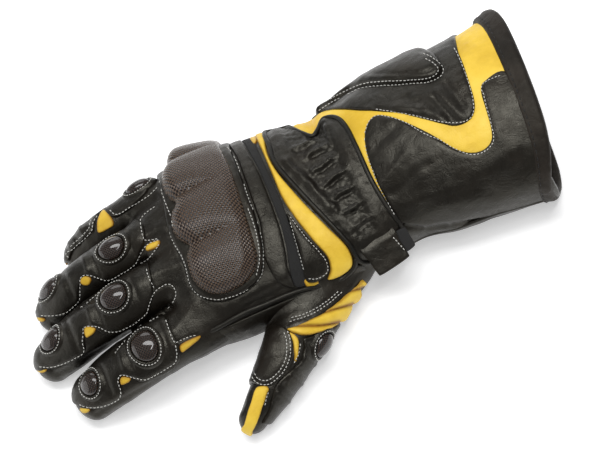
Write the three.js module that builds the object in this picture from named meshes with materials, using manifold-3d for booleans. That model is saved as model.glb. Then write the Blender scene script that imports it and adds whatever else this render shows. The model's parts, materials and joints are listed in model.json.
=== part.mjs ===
// A long leather motorcycle glove for the right hand, lying palm down on a table.
// Millimetres, +Z up. The hand's length runs along X, with the cuff at +X and the fingertips
// at -X, and the thumb lies on the -Y side. The origin is under the middle of the whole glove.
//
// The glove is built as a glove maker builds it, round a form. The form is one tube for the
// palm, wrist and gauntlet, with a tube for each finger and the thumb let into it. Every
// leather piece is a layer of that form between two offsets, cut to its pattern outline.
// Patterns are drawn on a flat drawing plane that leans towards the thumb side, and are laid
// on the form square to that plane: u runs along the hand and v across it.

import * as THREE from "three";
import { mergeVertices } from "three/addons/utils/BufferGeometryUtils.js";
import Module from "manifold-3d";

const wasm = await Module();
wasm.setup();

// Thicknesses and clearances
const WALL = 2.0; // main leather with its lining
const GAP = 0.3; // clearance between neighbouring pieces
const LEATHER = 1.3; // one layer of applied leather
const LAYER_1 = [GAP, GAP + LEATHER]; // sewn straight on the main leather
const LAYER_2 = [2 * GAP + LEATHER, 2 * (GAP + LEATHER)]; // sewn on top of layer 1

const GUARD_LIFT = 2.6; // padded surround that the knuckle guard sits in
const WELT_HEIGHT = 3;
const PANEL_FLOOR = 10; // sewn panels end this far above the table
const THUMB_FLOOR = 4;
const RIB_DEPTH = 5; // how deep the ribs' pattern cuts into the thumb side

// Moves the origin to the middle of the floor area under the glove.
const CENTRE_X = -8.25;
const CENTRE_Y = -12.1;

const DRAWING_LEAN = THREE.MathUtils.degToRad(60); // drawing plane's square line above the table
const FAR = 300; // longer than the glove from anywhere on it

// The palm, wrist and gauntlet: one row for each section across the hand.
const TRUNK = table("x middle halfWidth bottom top", [
  [-90, 16, 52, 14, 45],
  [-78, 15, 57, 9, 51],
  [-60, 14.5, 59.5, 2.5, 56],
  [-40, 14, 59.5, -0.8, 57],
  [-20, 13, 59, -0.8, 57],
  [0, 12.8, 57.2, -0.8, 55],
  [20, 11, 53.5, 1, 53],
  [34, 11.2, 52.5, 2, 52],
  [50, 12.2, 51, 2, 55],
  [65, 12.8, 51.7, 1, 60],
  [85, 9.5, 54.5, -0.8, 64],
  [112, 7, 56.5, -0.8, 67],
  [135, 5.5, 58.5, -0.8, 69],
  [158, 6, 61.5, -0.8, 70],
]);
const TRUNK_RINGS = 11;
const TRUNK_SIDES = 16;
const WIDEST_SHARE = 0.45; // height of the widest line, as a share of the section
const CUFF_SKEW = 0.13; // the cuff's edge leans this much along X for each unit of Y
const CUFF_BOW = 2; // and stands this much further out in the middle
const CUFF_CORNER = 8; // and is drawn back this much at both sides
const SKEW_FROM = 95; // where the lean and the bow begin
const CORNER_FROM = 130;
const TRUNK_FRONT = -90;
const TRUNK_BACK = 158;
const TOP_SQUARENESS = 0.94; // 1 is an ellipse, and less is squarer
const SOLE_SQUARENESS = 0.72;

// Fingers and thumb: one row for each section along the finger, from inside the palm to the
// last joint. A round end of length "tip" follows the last row.
const FINGER_COLUMNS = "x y z halfWidth halfDepth";
const DIGITS = {
  index: {
    tip: 13,
    rows: table(FINGER_COLUMNS, [
      [-62, -27, 27, 14, 13],
      [-85, -29, 28, 17, 15],
      [-100, -30, 28, 17, 15],
      [-120, -31, 26, 17, 14],
      [-140, -31, 20, 16.5, 13],
      [-156, -30.5, 12, 14.5, 12],
    ]),
  },
  middle: {
    tip: 12.5,
    rows: table(FINGER_COLUMNS, [
      [-62, 5, 32, 14, 14],
      [-85, 4.5, 34, 15.5, 16],
      [-100, 4, 34, 15.5, 15.5],
      [-120, 3.5, 32.5, 15.5, 14.5],
      [-140, 3.5, 27, 15.5, 13.5],
      [-158, 4, 18, 14.5, 12.5],
      [-169.5, 4.5, 11.5, 13, 11.5],
    ]),
  },
  ring: {
    tip: 12,
    rows: table(FINGER_COLUMNS, [
      [-62, 36, 32, 12, 14],
      [-85, 35, 33, 13.5, 16],
      [-100, 34.5, 33, 13.5, 15],
      [-118, 34.5, 31, 13.5, 14],
      [-135, 34.5, 25.5, 13.5, 13],
      [-149, 34, 18, 13.5, 12],
      [-157, 34, 11.5, 12.5, 11.5],
    ]),
  },
  little: {
    tip: 11,
    rows: table(FINGER_COLUMNS, [
      [-55, 59, 27, 10, 11],
      [-75, 61.5, 28, 12, 13.5],
      [-90, 61.5, 27, 12, 13],
      [-105, 61.5, 24.5, 12, 12],
      [-118, 62, 19, 12, 11],
      [-128, 61.5, 11.5, 11, 10.5],
    ]),
  },
  thumb: {
    tip: 10,
    rows: table(FINGER_COLUMNS, [
      [10, -32, 15, 17, 13],
      [-10, -44, 17, 18, 15.5],
      [-28, -57.5, 18, 17, 16],
      [-45, -71, 17, 14.5, 14.5],
      [-62, -83, 14, 11.5, 12],
      [-75, -91, 11, 8.5, 10],
    ]),
  },
};
const DIGIT_SIDES = 8;
const DIGIT_RINGS = 4;
const TIP_RINGS = [35, 65]; // angles round the fingertip, in degrees

// Where the main leather is divided into its pieces
const FINGER_CUT_X = -92;
const WRIST_CUT_X = 22;
const BINDING_WIDTH = 12;
const BINDING_LIFT = [-WALL - 1, 1.8]; // inner and outer face, from the form
const BETWEEN_FINGERS = {
  index: [-80, -13.2],
  middle: [-12.8, 19.8],
  ring: [20.2, 47.2],
  little: [47.6, 95],
};
const THUMB_CUT = { through: [-6, -52, 18], towards: [-0.62, -0.75, 0] };
const SIDE_SEAM = table("x height", [
  [-100, 27],
  [0, 26],
  [40, 25],
  [80, 30],
  [120, 32],
  [190, 33],
]);

// Colours
const BLACK = 0x2a2522;
const YELLOW = 0xe3bd3f;
const CARBON = 0x4a423c;
const STRETCH = 0x1d1c1f;
const GLOSS = 0.2; // roughness of the hard parts

// Builds rows of named numbers.
function table(columns, rows) {
  const names = columns.split(" ");
  return rows.map((row) => Object.fromEntries(names.map((name, i) => [name, row[i]])));
}

// A smooth curve through one column of a table, as a function of position along the rows.
function smoothColumn(rows, key, column, at) {
  const ascending = rows[0][key] < rows[rows.length - 1][key] ? rows : [...rows].reverse();
  let i = 0;
  while (i < ascending.length - 2 && at > ascending[i + 1][key]) i += 1;
  const slope = (j) => {
    const a = ascending[Math.max(j - 1, 0)];
    const b = ascending[Math.min(j + 1, ascending.length - 1)];
    return (b[column] - a[column]) / (b[key] - a[key]);
  };
  const [from, to] = [ascending[i], ascending[i + 1]];
  const span = to[key] - from[key];
  const t = (at - from[key]) / span;
  const rise = to[column] - from[column];
  const bendFrom = slope(i) * span - rise;
  const bendTo = rise - slope(i + 1) * span;
  return from[column] + t * rise + t * (1 - t) * ((1 - t) * bendFrom + t * bendTo);
}

// A point on the trunk, "angle" round from the thumb side over the back of the hand, at a
// distance "offset" outside the form.
function trunkPoint(x, angle, offset = 0) {
  const at = THREE.MathUtils.clamp(x, TRUNK_FRONT, TRUNK_BACK);
  const column = (name) => smoothColumn(TRUNK, "x", name, at);
  const [bottom, top] = [column("bottom"), column("top")];
  const widest = bottom + WIDEST_SHARE * (top - bottom);
  const [c, s] = [Math.cos(angle), Math.sin(angle)];
  const power = s >= 0 ? TOP_SQUARENESS : SOLE_SQUARENESS;
  const round = (value) => Math.sign(value) * Math.abs(value) ** power;
  const side = round(c);
  const across = -(column("halfWidth") + offset) * side;
  const reach = (s >= 0 ? top - widest : widest - bottom) + offset;
  const lean = THREE.MathUtils.smoothstep(x, SKEW_FROM, TRUNK_BACK);
  const corner = THREE.MathUtils.smoothstep(x, CORNER_FROM, TRUNK_BACK);
  const shift = lean * (CUFF_SKEW * across + CUFF_BOW * (1 - side ** 2)) - corner * CUFF_CORNER * side ** 6;
  return new THREE.Vector3(x + shift, column("middle") + across, widest + reach * round(s));
}

// A closed skin over rings of points, with a middle point on each end.
function skin(rings) {
  const sides = rings[0].length;
  const points = rings.flat();
  const faces = [];
  for (let i = 0; i < rings.length - 1; i += 1) {
    for (let j = 0; j < sides; j += 1) {
      const [a, b] = [i * sides + j, i * sides + ((j + 1) % sides)];
      faces.push(a, b + sides, b, a, a + sides, b + sides);
    }
  }
  const middle = (ring) =>
    ring.reduce((sum, p) => sum.add(p), new THREE.Vector3()).divideScalar(ring.length);
  const last = (rings.length - 1) * sides;
  points.push(middle(rings[0]), middle(rings[rings.length - 1]));
  for (let j = 0; j < sides; j += 1) {
    const next = (j + 1) % sides;
    faces.push(j, next, points.length - 2, last + next, last + j, points.length - 1);
  }
  const geometry = new THREE.BufferGeometry().setFromPoints(points);
  geometry.setIndex(faces);
  return geometry;
}

// Turns a closed geometry into a solid that can be cut and joined.
function solid(geometry) {
  const bare = new THREE.BufferGeometry();
  bare.setAttribute("position", geometry.getAttribute("position"));
  if (geometry.index) bare.setIndex(geometry.index);
  const merged = mergeVertices(bare, 1e-4);
  const made = new wasm.Manifold(
    new wasm.Mesh({
      numProp: 3,
      vertProperties: new Float32Array(merged.getAttribute("position").array),
      triVerts: new Uint32Array(merged.index.array),
    }),
  );
  return made;
}

function trunkSolid(offset, openBack = 0) {
  const rings = [];
  for (let i = 0; i <= TRUNK_RINGS; i += 1) {
    const x = THREE.MathUtils.lerp(TRUNK_FRONT - Math.min(offset, 0), TRUNK_BACK, i / TRUNK_RINGS);
    rings.push(ringOfTrunk(x, offset));
  }
  if (openBack) rings.push(ringOfTrunk(TRUNK_BACK + openBack, offset));
  return solid(skin(rings));
}

function ringOfTrunk(x, offset) {
  return Array.from({ length: TRUNK_SIDES }, (_, j) =>
    trunkPoint(x, ((j + 0.5) / TRUNK_SIDES) * 2 * Math.PI, offset),
  );
}

// The middle line of a finger, as a smooth curve through its rows.
function middleLine(digit) {
  return new THREE.CatmullRomCurve3(digit.rows.map((r) => new THREE.Vector3(r.x, r.y, r.z)));
}

// The directions across and up at one place along a finger.
function crossDirections(along) {
  const across = new THREE.Vector3().crossVectors(along, new THREE.Vector3(0, 0, 1)).normalize();
  return [across, new THREE.Vector3().crossVectors(across, along).normalize()];
}

function digitSolid(digit, offset) {
  const line = middleLine(digit);
  const rings = [];
  const addRing = (middle, along, halfWidth, halfDepth) => {
    const [across, up] = crossDirections(along);
    rings.push(
      Array.from({ length: DIGIT_SIDES }, (_, j) => {
        const angle = ((j + 0.5) / DIGIT_SIDES) * 2 * Math.PI;
        return middle
          .clone()
          .addScaledVector(across, halfWidth * Math.cos(angle))
          .addScaledVector(up, halfDepth * Math.sin(angle));
      }),
    );
  };
  const size = (column, share) => {
    const place = share * (digit.rows.length - 1);
    const i = Math.min(Math.floor(place), digit.rows.length - 2);
    return THREE.MathUtils.lerp(digit.rows[i][column], digit.rows[i + 1][column], place - i) + offset;
  };
  for (let i = 0; i <= DIGIT_RINGS; i += 1) {
    const share = i / DIGIT_RINGS;
    addRing(line.getPoint(share), line.getTangent(share), size("halfWidth", share), size("halfDepth", share));
  }
  const [end, along] = [line.getPoint(1), line.getTangent(1)];
  for (const degrees of TIP_RINGS) {
    const angle = THREE.MathUtils.degToRad(degrees);
    const middle = end.clone().addScaledVector(along, (digit.tip + offset) * Math.sin(angle));
    addRing(middle, along, size("halfWidth", 1) * Math.cos(angle), size("halfDepth", 1) * Math.cos(angle));
  }
  const geometry = skin(rings);
  const tip = end.clone().addScaledVector(along, digit.tip + offset);
  const positions = geometry.getAttribute("position");
  positions.setXYZ(positions.count - 1, tip.x, tip.y, tip.z);
  return solid(geometry);
}

// The whole form at one offset, kept so that each is worked out once.
const forms = new Map();
function form(offset, openBack = 0) {
  const key = `${offset} ${openBack}`;
  if (!forms.has(key)) {
    let made = trunkSolid(offset, openBack);
    for (const digit of Object.values(DIGITS)) made = made.add(digitSolid(digit, offset));
    forms.set(key, made.trimByPlane([0, 0, 1], Math.max(0, -offset)));
  }
  return forms.get(key);
}

// The drawing plane's directions: along the glove, across it, and square to the plane.
const ALONG = new THREE.Vector3(1, 0, 0);
const ACROSS = new THREE.Vector3(0, Math.sin(DRAWING_LEAN), Math.cos(DRAWING_LEAN));
const SQUARE = new THREE.Vector3(0, -Math.cos(DRAWING_LEAN), Math.sin(DRAWING_LEAN));
const DRAWING_MIDDLE = new THREE.Vector3(0, 0, 30);

function onDrawing([u, v], depth) {
  return DRAWING_MIDDLE.clone()
    .addScaledVector(ALONG, u)
    .addScaledVector(ACROSS, v)
    .addScaledVector(SQUARE, depth);
}

// Pattern outlines on the drawing plane: corners (u, v) joined in turn. A v past about 65 or
// -55 lies beyond the glove, where the piece runs on round its side.
const PATTERN = {
  lower_panel: [
    [54.5, -34], [54, 0], [57, 23], [66, 36.5], [78, 33], [97, 9], [111, -8], [121, -9.5],
    [129.5, 0], [134, 22], [138, 26.5], [156, 27], [150, -60], [100, -60], [57, -50],
  ],
  upper_panel: [
    [40, 57], [56, 50.5], [73, 41], [96, 24], [107, 14], [117, 11], [126, 18], [131, 48],
    [130.5, 75], [40, 75],
  ],
  roll: [
    [40, 56], [52, 57.5], [72, 56], [100, 44.5], [113, 41], [120, 47], [112, 62], [108, 75],
    [44, 75],
  ],
  shirred: [
    [5, 50], [6, 58], [12, 60], [20, 55], [31, 43.5], [42, 49.5], [49, 47], [52, 40],
    [52, -12], [54, -27], [51, -36], [24, -36], [21, -22], [12, 8], [3.5, 40],
  ],
  wrist_strip: [
    [1.5, 75], [-1, 35], [-2, 20], [3, -12], [6, -24], [4, -32], [0, -36], [10, -37],
    [18, -34], [19.5, -24], [10, 6], [2.2, 38], [3, 50], [8, 62], [9, 75],
  ],
  back_band: [
    [-17, 75], [-15.5, 55], [-19, 25], [-25, 1], [-28, -8], [-27, -24], [-20, -31], [-14, -8],
    [-9, 20], [-8, 55], [-9, 75],
  ],
  stretch: [
    [-8.4, 75], [-6.9, 40], [-10.4, 5], [-19, -31], [-12, -32], [-3, 20], [-1, 75],
  ],
  triangle: [
    [-3.6, 10], [0, -5], [4.5, -24], [3, -31], [-3, -33.5], [-11, -31.5], [-6.5, -10],
  ],
  surround: [
    [-17, 75], [-18, 40], [-24, 3], [-29, -9], [-38, -18], [-50, -20.5], [-64, -18], [-74, -8],
    [-72.5, 22], [-65, 56], [-58, 75],
  ],
  side_band: [
    [-88, -33], [-40, -34.5], [0, -40], [12, -40], [20, -36], [24, -40], [22, -43], [12, -46.5],
    [-12, -52], [-34, -50], [-42, -46], [-46, -54], [-88, -54],
  ],
  welt: [
    [-88, -30], [-40, -31], [-15, -33.5], [6, -38], [13, -37.8], [18, -35.6], [18.5, -37],
    [13, -39.8], [-15, -36.2], [-40, -33.7], [-88, -32.3],
  ],
  ribs: [
    [-35, -52], [-12, -52.8], [0, -50.8], [21, -44], [24, -46], [12, -53], [-2, -61],
    [-18, -62], [-28, -59.5],
  ],
  thumb_patch: [
    [-44, -46], [-36, -51], [-35.5, -58], [-40, -67], [-47, -73], [-56, -76.5], [-63, -75],
    [-72, -66],
  ],
  thumb_strip_short: [
    [-36, -53], [-33.6, -54.5], [-31.5, -60], [-35, -67], [-40, -72], [-35.8, -60],
  ],
  thumb_strip_long: [
    [-66.5, -75], [-64, -76.5], [-61, -78.5], [-63, -83], [-74, -93.5], [-82, -98.5],
    [-84, -95], [-76, -86],
  ],
  thumb_back: [
    [-8, -63], [-29.5, -61], [-31, -66], [-38, -73], [-47, -75], [-57, -78.7], [-74, -95.5],
    [-60, -99], [-38, -90], [-15, -78], [-2, -66],
  ],
  index_panel: [
    [-172, -36], [-164, -40.5], [-150, -43.5], [-143, -42.5], [-139, -32], [-126, -39.5],
    [-106, -40], [-99, -34], [-99, -8], [-120, -6], [-172, -16],
  ],
  middle_panel: [
    [-185, -4], [-172, -8], [-150, -8.5], [-143.5, 5], [-133, -4], [-124, -7.4], [-106, -5.5],
    [-96, 8], [-94, 28], [-150, 22], [-185, 14],
  ],
  ring_panel: [
    [-172, 25], [-160, 21], [-141, 19.5], [-130, 32.3], [-118, 23.5], [-99, 24.5], [-93, 30],
    [-93, 55], [-150, 55], [-172, 45],
  ],
  little_panel: [
    [-140, 44], [-127, 50], [-114, 54], [-101, 62.5], [-97, 56], [-93, 56], [-93, 80],
    [-140, 80],
  ],
};

// Knuckle guard: four lobes side by side, one row for each lobe, placed by their angles round
// the hand. "front" is the end towards the fingers.
const LOBES = table("from to front height", [
  [38, 86, -71, 12],
  [74, 117, -69.5, 12.5],
  [103, 152, -65, 13],
  [137, 182, -59, 12],
]);
const LOBE_BACK = -4; // where a whole lobe would end, past the guard's straight edge
const GUARD_BACK = [
  [-90, -40], [-33, -40], [-30, -5], [-26, 17], [-22.5, 40], [-21.5, 60], [-21.5, 90], [-90, 90],
];

// Sliders: hard ovals let into the finger panels, one row for each.
const SLIDERS = table("finger u v length width", [
  ["index", -154.5, -27.5, 11, 11],
  ["index", -115.5, -22, 14, 16],
  ["middle", -163, 6, 14, 11],
  ["middle", -118.5, 13, 14, 13],
  ["ring", -151, 34, 14, 11],
  ["ring", -106.5, 39, 14, 13],
]);
const SLIDER_HEIGHT = 5.5;
const SLIDER_SIDES = 7;
const RING_WIDTH = 3; // leather ring round each slider
const RING_HEIGHT = 2.8;
// Two more sit edge-on to the drawing plane, on the sides of the little finger and the thumb.
const SIDE_SLIDERS = {
  little_slider_1: { from: [-79, 62.4], to: [-73, 62.6], halfWidth: 4.5, height: 5.5, lift: GAP },
  thumb_slider: {
    from: [-23.5, -68.8],
    to: [-16.5, -66.5],
    halfWidth: 4.5,
    height: 6.5,
    lift: LAYER_1[1] + GAP,
  },
};

// Gathers of the wrist panel: the v of each ridge, which lies across the panel
const GATHERS = [41, 34, 26, 16, 5, -6, -16];
const GATHER = { from: 22, to: 39, halfWidth: 4.6, height: 4.6, lean: 0.12 };

// Accordion ribs of the thumb: the two ends of each rib
const RIBS = table("u v toU toV", [
  [-31, -52.8, 6, -49],
  [-31, -54, 6, -51.5],
  [-30, -55.5, 0, -54.5],
  [-28, -57, -10, -58],
]);
const RIB = { halfWidth: 2.4, height: 4, base: [GAP, 1.8] };

// Strap tab at the wrist: a flat two-layer tongue that leaves the leather at its root and
// stands past the thumb side, with a hook strip showing at one edge.
const STRAP = { root: [37, -22], along: [0.12, -1], length: 26, width: 22, thickness: 2.2 };
const PIPING_WIDTH = 2.7;
const ROLL = { low: 4, high: 6.5, shoulder: 3 }; // padded roll: edge height, top height, shoulder

// The outline moved outwards by "by", or inwards if it is negative.
function grown(points, by) {
  const turn = THREE.ShapeUtils.area(points.map(([u, v]) => new THREE.Vector2(u, v))) > 0 ? 1 : -1;
  return points.map(([u, v], i) => {
    const [pu, pv] = points[(i + points.length - 1) % points.length];
    const [nu, nv] = points[(i + 1) % points.length];
    const length = Math.hypot(nu - pu, nv - pv) || 1;
    return [u + (turn * by * (nv - pv)) / length, v - (turn * by * (nu - pu)) / length];
  });
}

// An oval outline round a place on the drawing plane.
function oval(u, v, length, width) {
  return Array.from({ length: SLIDER_SIDES }, (_, i) => {
    const angle = (2 * Math.PI * i) / SLIDER_SIDES;
    return [u + (length / 2) * Math.cos(angle), v + (width / 2) * Math.sin(angle)];
  });
}

// The space over an outline, from "depth" (a function of u) up to far above the glove.
function over(points, depth = () => -FAR) {
  const flat = points.map(([u, v]) => new THREE.Vector2(u, v));
  if (THREE.ShapeUtils.isClockWise(flat)) flat.reverse();
  const triangles = THREE.ShapeUtils.triangulateShape(flat, []);
  const n = flat.length;
  const low = flat.map((p) => onDrawing([p.x, p.y], depth(p.x)));
  const high = flat.map((p) => onDrawing([p.x, p.y], FAR));
  const faces = [];
  for (const [a, b, c] of triangles) faces.push(c, b, a, a + n, b + n, c + n);
  for (let i = 0; i < n; i += 1) {
    const j = (i + 1) % n;
    faces.push(i, j, j + n, i, j + n, i + n);
  }
  const geometry = new THREE.BufferGeometry().setFromPoints([...low, ...high]);
  geometry.setIndex(faces);
  return solid(geometry);
}

// The space over a named pattern, made larger all round by "grow".
function cut(name, grow = 0, depth = undefined) {
  return over(grown(PATTERN[name], grow), depth);
}

// Everything above the side seams.
function aboveSeams() {
  const shape = new THREE.Shape();
  shape.moveTo(SIDE_SEAM[0].x, FAR);
  for (const { x, height } of SIDE_SEAM) shape.lineTo(x, height);
  shape.lineTo(SIDE_SEAM[SIDE_SEAM.length - 1].x, FAR);
  const made = new THREE.ExtrudeGeometry(shape, { depth: 2 * FAR, bevelEnabled: false });
  made.rotateX(Math.PI / 2);
  made.translate(0, FAR, 0);
  return solid(made);
}

// A layer of the whole form between two offsets.
const MOUTH = 20; // the inner form runs this far past the cuff, so that the cuff is open
const layers = new Map();
function layer([inner, outer]) {
  const key = `${inner} ${outer}`;
  if (!layers.has(key)) layers.set(key, form(outer).subtract(form(inner, MOUTH)));
  return layers.get(key);
}

// The part of the space round the trunk from one section on to past the cuff.
function trunkFrom(x) {
  const rings = [x, x + MOUTH, x + 2 * MOUTH].map((at) => ringOfTrunk(at, MOUTH));
  return solid(skin(rings));
}

// The point of the form under a place on the drawing plane, and the way its surface faces.
const aim = new THREE.Raycaster();
let target;
function surfaceUnder([u, v]) {
  if (!target) {
    const { vertProperties, triVerts } = form(0).getMesh();
    const geometry = new THREE.BufferGeometry();
    geometry.setAttribute("position", new THREE.BufferAttribute(vertProperties, 3));
    geometry.setIndex(new THREE.BufferAttribute(triVerts, 1));
    target = new THREE.Mesh(geometry);
  }
  aim.set(onDrawing([u, v], FAR), SQUARE.clone().negate());
  const [hit] = aim.intersectObject(target);
  if (!hit) throw new Error(`nothing under ${u}, ${v}`);
  return { point: hit.point, normal: hit.face.normal.clone() };
}

// A rounded body lying on the surface between two places: half as long as they are apart plus
// its half width, and standing "height" above the surface.
const FINE_SIDES = 8;
const COARSE_SIDES = 6;
const BUMP_RINGS = 4;
function bump(from, to, halfWidth, height, sides = FINE_SIDES) {
  const [a, b] = [surfaceUnder(from), surfaceUnder(to)];
  const middle = surfaceUnder([(from[0] + to[0]) / 2, (from[1] + to[1]) / 2]);
  const normal = a.normal.clone().add(b.normal).add(middle.normal).normalize();
  const between = b.point.clone().sub(a.point);
  const along = between.lengthSq() > 1e-6 ? between.clone() : ALONG.clone();
  along.addScaledVector(normal, -along.dot(normal)).normalize();
  const side = new THREE.Vector3().crossVectors(normal, along);
  const ball = new THREE.SphereGeometry(1, sides, BUMP_RINGS);
  ball.scale(halfWidth + between.length() / 2, halfWidth, height);
  ball.applyMatrix4(new THREE.Matrix4().makeBasis(along, side, normal).setPosition(middle.point));
  return solid(ball);
}

const glove = new THREE.Group();
function addPiece(name, body, colour, roughness = 0.6) {
  const [largest] = body.decompose().sort((a, b) => b.volume() - a.volume());
  const { vertProperties, triVerts } = largest.getMesh();
  const geometry = new THREE.BufferGeometry();
  geometry.setAttribute("position", new THREE.BufferAttribute(vertProperties, 3));
  geometry.setIndex(new THREE.BufferAttribute(triVerts, 1));
  geometry.computeVertexNormals();
  const material = new THREE.MeshStandardMaterial({ color: colour, roughness, metalness: 0 });
  const mesh = new THREE.Mesh(geometry, material);
  mesh.name = name;
  glove.add(mesh);
}

// Leaves out of a body the space over each named pattern, with a gap round it.
function without(body, ...names) {
  return names.reduce((rest, name) => rest.subtract(cut(name, GAP)), body);
}

const upper = aboveSeams();
const belowGap = upper.translate([0, 0, -GAP]);
const aboveGap = upper.translate([0, 0, GAP]);
const bindingSpace = trunkFrom(TRUNK_BACK - BINDING_WIDTH);
const bindingRoom = trunkFrom(TRUNK_BACK - BINDING_WIDTH - GAP);

// Main leather
const main = form(0).subtract(form(-WALL, MOUTH));
const thumbWay = new THREE.Vector3(...THUMB_CUT.towards).normalize();
const thumbAt = thumbWay.dot(new THREE.Vector3(...THUMB_CUT.through));
const beyondThumbCut = (body, at) => body.trimByPlane(thumbWay.toArray(), at);
const between = (body, [low, high]) => body.trimByPlane([0, 1, 0], low).trimByPlane([0, -1, 0], -high);
const fingerEnd = (body) => body.trimByPlane([-1, 0, 0], -FINGER_CUT_X + GAP);
const above = (body, height) => body.trimByPlane([0, 0, 1], height);
const THUMB_ROOM = 1; // the hand's hole for the thumb is this much larger than the thumb

function addHand() {
  const whole = main.trimByPlane([1, 0, 0], FINGER_CUT_X).trimByPlane([-1, 0, 0], -WRIST_CUT_X);
  const thumbRoom = beyondThumbCut(digitSolid(DIGITS.thumb, THUMB_ROOM), thumbAt - GAP);
  const hand = whole.subtract(thumbRoom.subtract(trunkSolid(0)));
  addPiece("hand_back", hand.intersect(upper), BLACK);
  addPiece("palm", hand.subtract(belowGap), BLACK);
}

function addSleeves() {
  const thumb = beyondThumbCut(digitSolid(DIGITS.thumb, THUMB_ROOM / 2), thumbAt);
  addPiece("thumb_sleeve", main.intersect(thumb.subtract(trunkSolid(GAP))), BLACK);
  for (const [name, limits] of Object.entries(BETWEEN_FINGERS)) {
    addPiece(`${name}_sleeve`, between(fingerEnd(main), limits), BLACK);
  }
}

function addGauntlet() {
  const gauntlet = main.trimByPlane([1, 0, 0], WRIST_CUT_X + GAP).subtract(bindingRoom);
  addPiece("gauntlet_back", gauntlet.intersect(upper), YELLOW);
  addPiece("gauntlet_palm", gauntlet.subtract(belowGap), BLACK);
  const binding = form(BINDING_LIFT[1]).subtract(form(BINDING_LIFT[0], MOUTH));
  addPiece("cuff_binding", binding.intersect(bindingSpace), BLACK);
}

// The strap's tongue, as a flat plate that leaves the surface at the strap's root.
function strapPlate(grow = 0) {
  const { point, normal } = surfaceUnder(STRAP.root);
  const along = onDrawing(STRAP.along, 0).sub(onDrawing([0, 0], 0));
  along.addScaledVector(normal, -along.dot(normal)).normalize();
  const side = new THREE.Vector3().crossVectors(normal, along);
  const { length, width, thickness } = STRAP;
  const plate = new THREE.BoxGeometry(length + 2 * grow, width + 2 * grow, thickness + 2 * grow);
  plate.translate(length / 2, 0, LAYER_2[0] + thickness / 2);
  const turn = new THREE.Matrix4().makeBasis(along, side, normal).setPosition(point);
  plate.applyMatrix4(turn);
  return solid(plate);
}

function addGauntletPanels() {
  const layer1 = layer(LAYER_1);
  const lower = above(layer1.intersect(cut("lower_panel")), PANEL_FLOOR).subtract(bindingRoom);
  addPiece("gauntlet_lower_panel", lower.subtract(strapPlate(GAP)), BLACK);
  const top = layer1.intersect(aboveGap);
  const panel = top.intersect(cut("upper_panel")).subtract(bindingRoom);
  addPiece("gauntlet_upper_panel", without(panel, "roll"), BLACK);
  const edge = layer([GAP, ROLL.low]).intersect(cut("roll"));
  const crown = layer([GAP, ROLL.high]).intersect(cut("roll", -ROLL.shoulder));
  addPiece("gauntlet_roll", edge.add(crown).intersect(aboveGap), BLACK);
}

function addWrist() {
  const top = layer(LAYER_1).intersect(aboveGap);
  const second = layer([GAP, GUARD_LIFT]).intersect(aboveGap);
  const inside = cut("shirred", -PIPING_WIDTH - GAP);
  let shirred = top.intersect(cut("shirred", -PIPING_WIDTH));
  for (const v of GATHERS) {
    const from = GATHER.from + Math.max(20 - v, 0) * GATHER.lean;
    const ends = [[from, v], [GATHER.to, v - 1]];
    const ridge = bump(...ends, GATHER.halfWidth, GATHER.height, COARSE_SIDES);
    shirred = shirred.add(ridge.intersect(inside).subtract(form(GAP)));
  }
  const strapRoom = strapPlate(GAP);
  addPiece("shirred_panel", shirred.subtract(strapRoom), BLACK);
  const piping = without(second.intersect(cut("shirred")).subtract(cut("shirred", GAP - PIPING_WIDTH)));
  addPiece("shirred_piping", piping.subtract(strapRoom), BLACK);
  const strip = without(top.intersect(cut("wrist_strip")), "shirred", "triangle", "stretch", "welt");
  addPiece("wrist_strip", strip.subtract(strapRoom), YELLOW);
  addPiece("wrist_strap", strapPlate().subtract(form(GAP + LAYER_1[1])), BLACK);
}

function addBackOfHand() {
  const top = layer(LAYER_1).intersect(aboveGap);
  addPiece("stretch_band", without(top.intersect(cut("stretch")), "triangle"), STRETCH);
  const band = top.intersect(cut("back_band"));
  addPiece("back_band", without(band, "stretch", "surround", "welt"), BLACK);
  addPiece("triangle_patch", without(top.intersect(cut("triangle")), "welt"), BLACK);
  const surround = layer([GAP, GUARD_LIFT]).intersect(aboveGap);
  addPiece("guard_surround", surround.intersect(cut("surround")), BLACK);
  const low = above(layer(LAYER_1), PANEL_FLOOR).trimByPlane([1, 0, 0], FINGER_CUT_X + GAP);
  const side = low.intersect(cut("side_band", 0, () => 0));
  addPiece("side_band", without(side, "ribs", "welt"), BLACK);
  const welt = layer([GAP, WELT_HEIGHT]).intersect(cut("welt", 0, () => 0));
  addPiece("side_welt", welt.trimByPlane([1, 0, 0], FINGER_CUT_X + GAP), BLACK);
}

function addGuard() {
  const GUARD_X = -40; // section that the lobes' angles are measured on
  const lobes = LOBES.map(({ from, to, front, height }) => {
    const [a, b] = [from, to].map((angle) => trunkPoint(GUARD_X, THREE.MathUtils.degToRad(angle)));
    const across = b.clone().sub(a);
    const halfWidth = across.length() / 2;
    across.normalize();
    const ball = new THREE.SphereGeometry(1, 12, 6);
    ball.scale((LOBE_BACK - front) / 2, halfWidth, height);
    const middle = a.clone().add(b).divideScalar(2).setX((LOBE_BACK + front) / 2);
    const up = new THREE.Vector3().crossVectors(ALONG, across);
    ball.applyMatrix4(new THREE.Matrix4().makeBasis(ALONG, across, up).setPosition(middle));
    return solid(ball);
  });
  const joined = lobes.reduce((all, lobe) => all.add(lobe));
  const guard = joined.intersect(over(GUARD_BACK)).subtract(form(GUARD_LIFT + GAP));
  addPiece("knuckle_guard", guard.intersect(aboveGap), CARBON, GLOSS);
}

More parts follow.
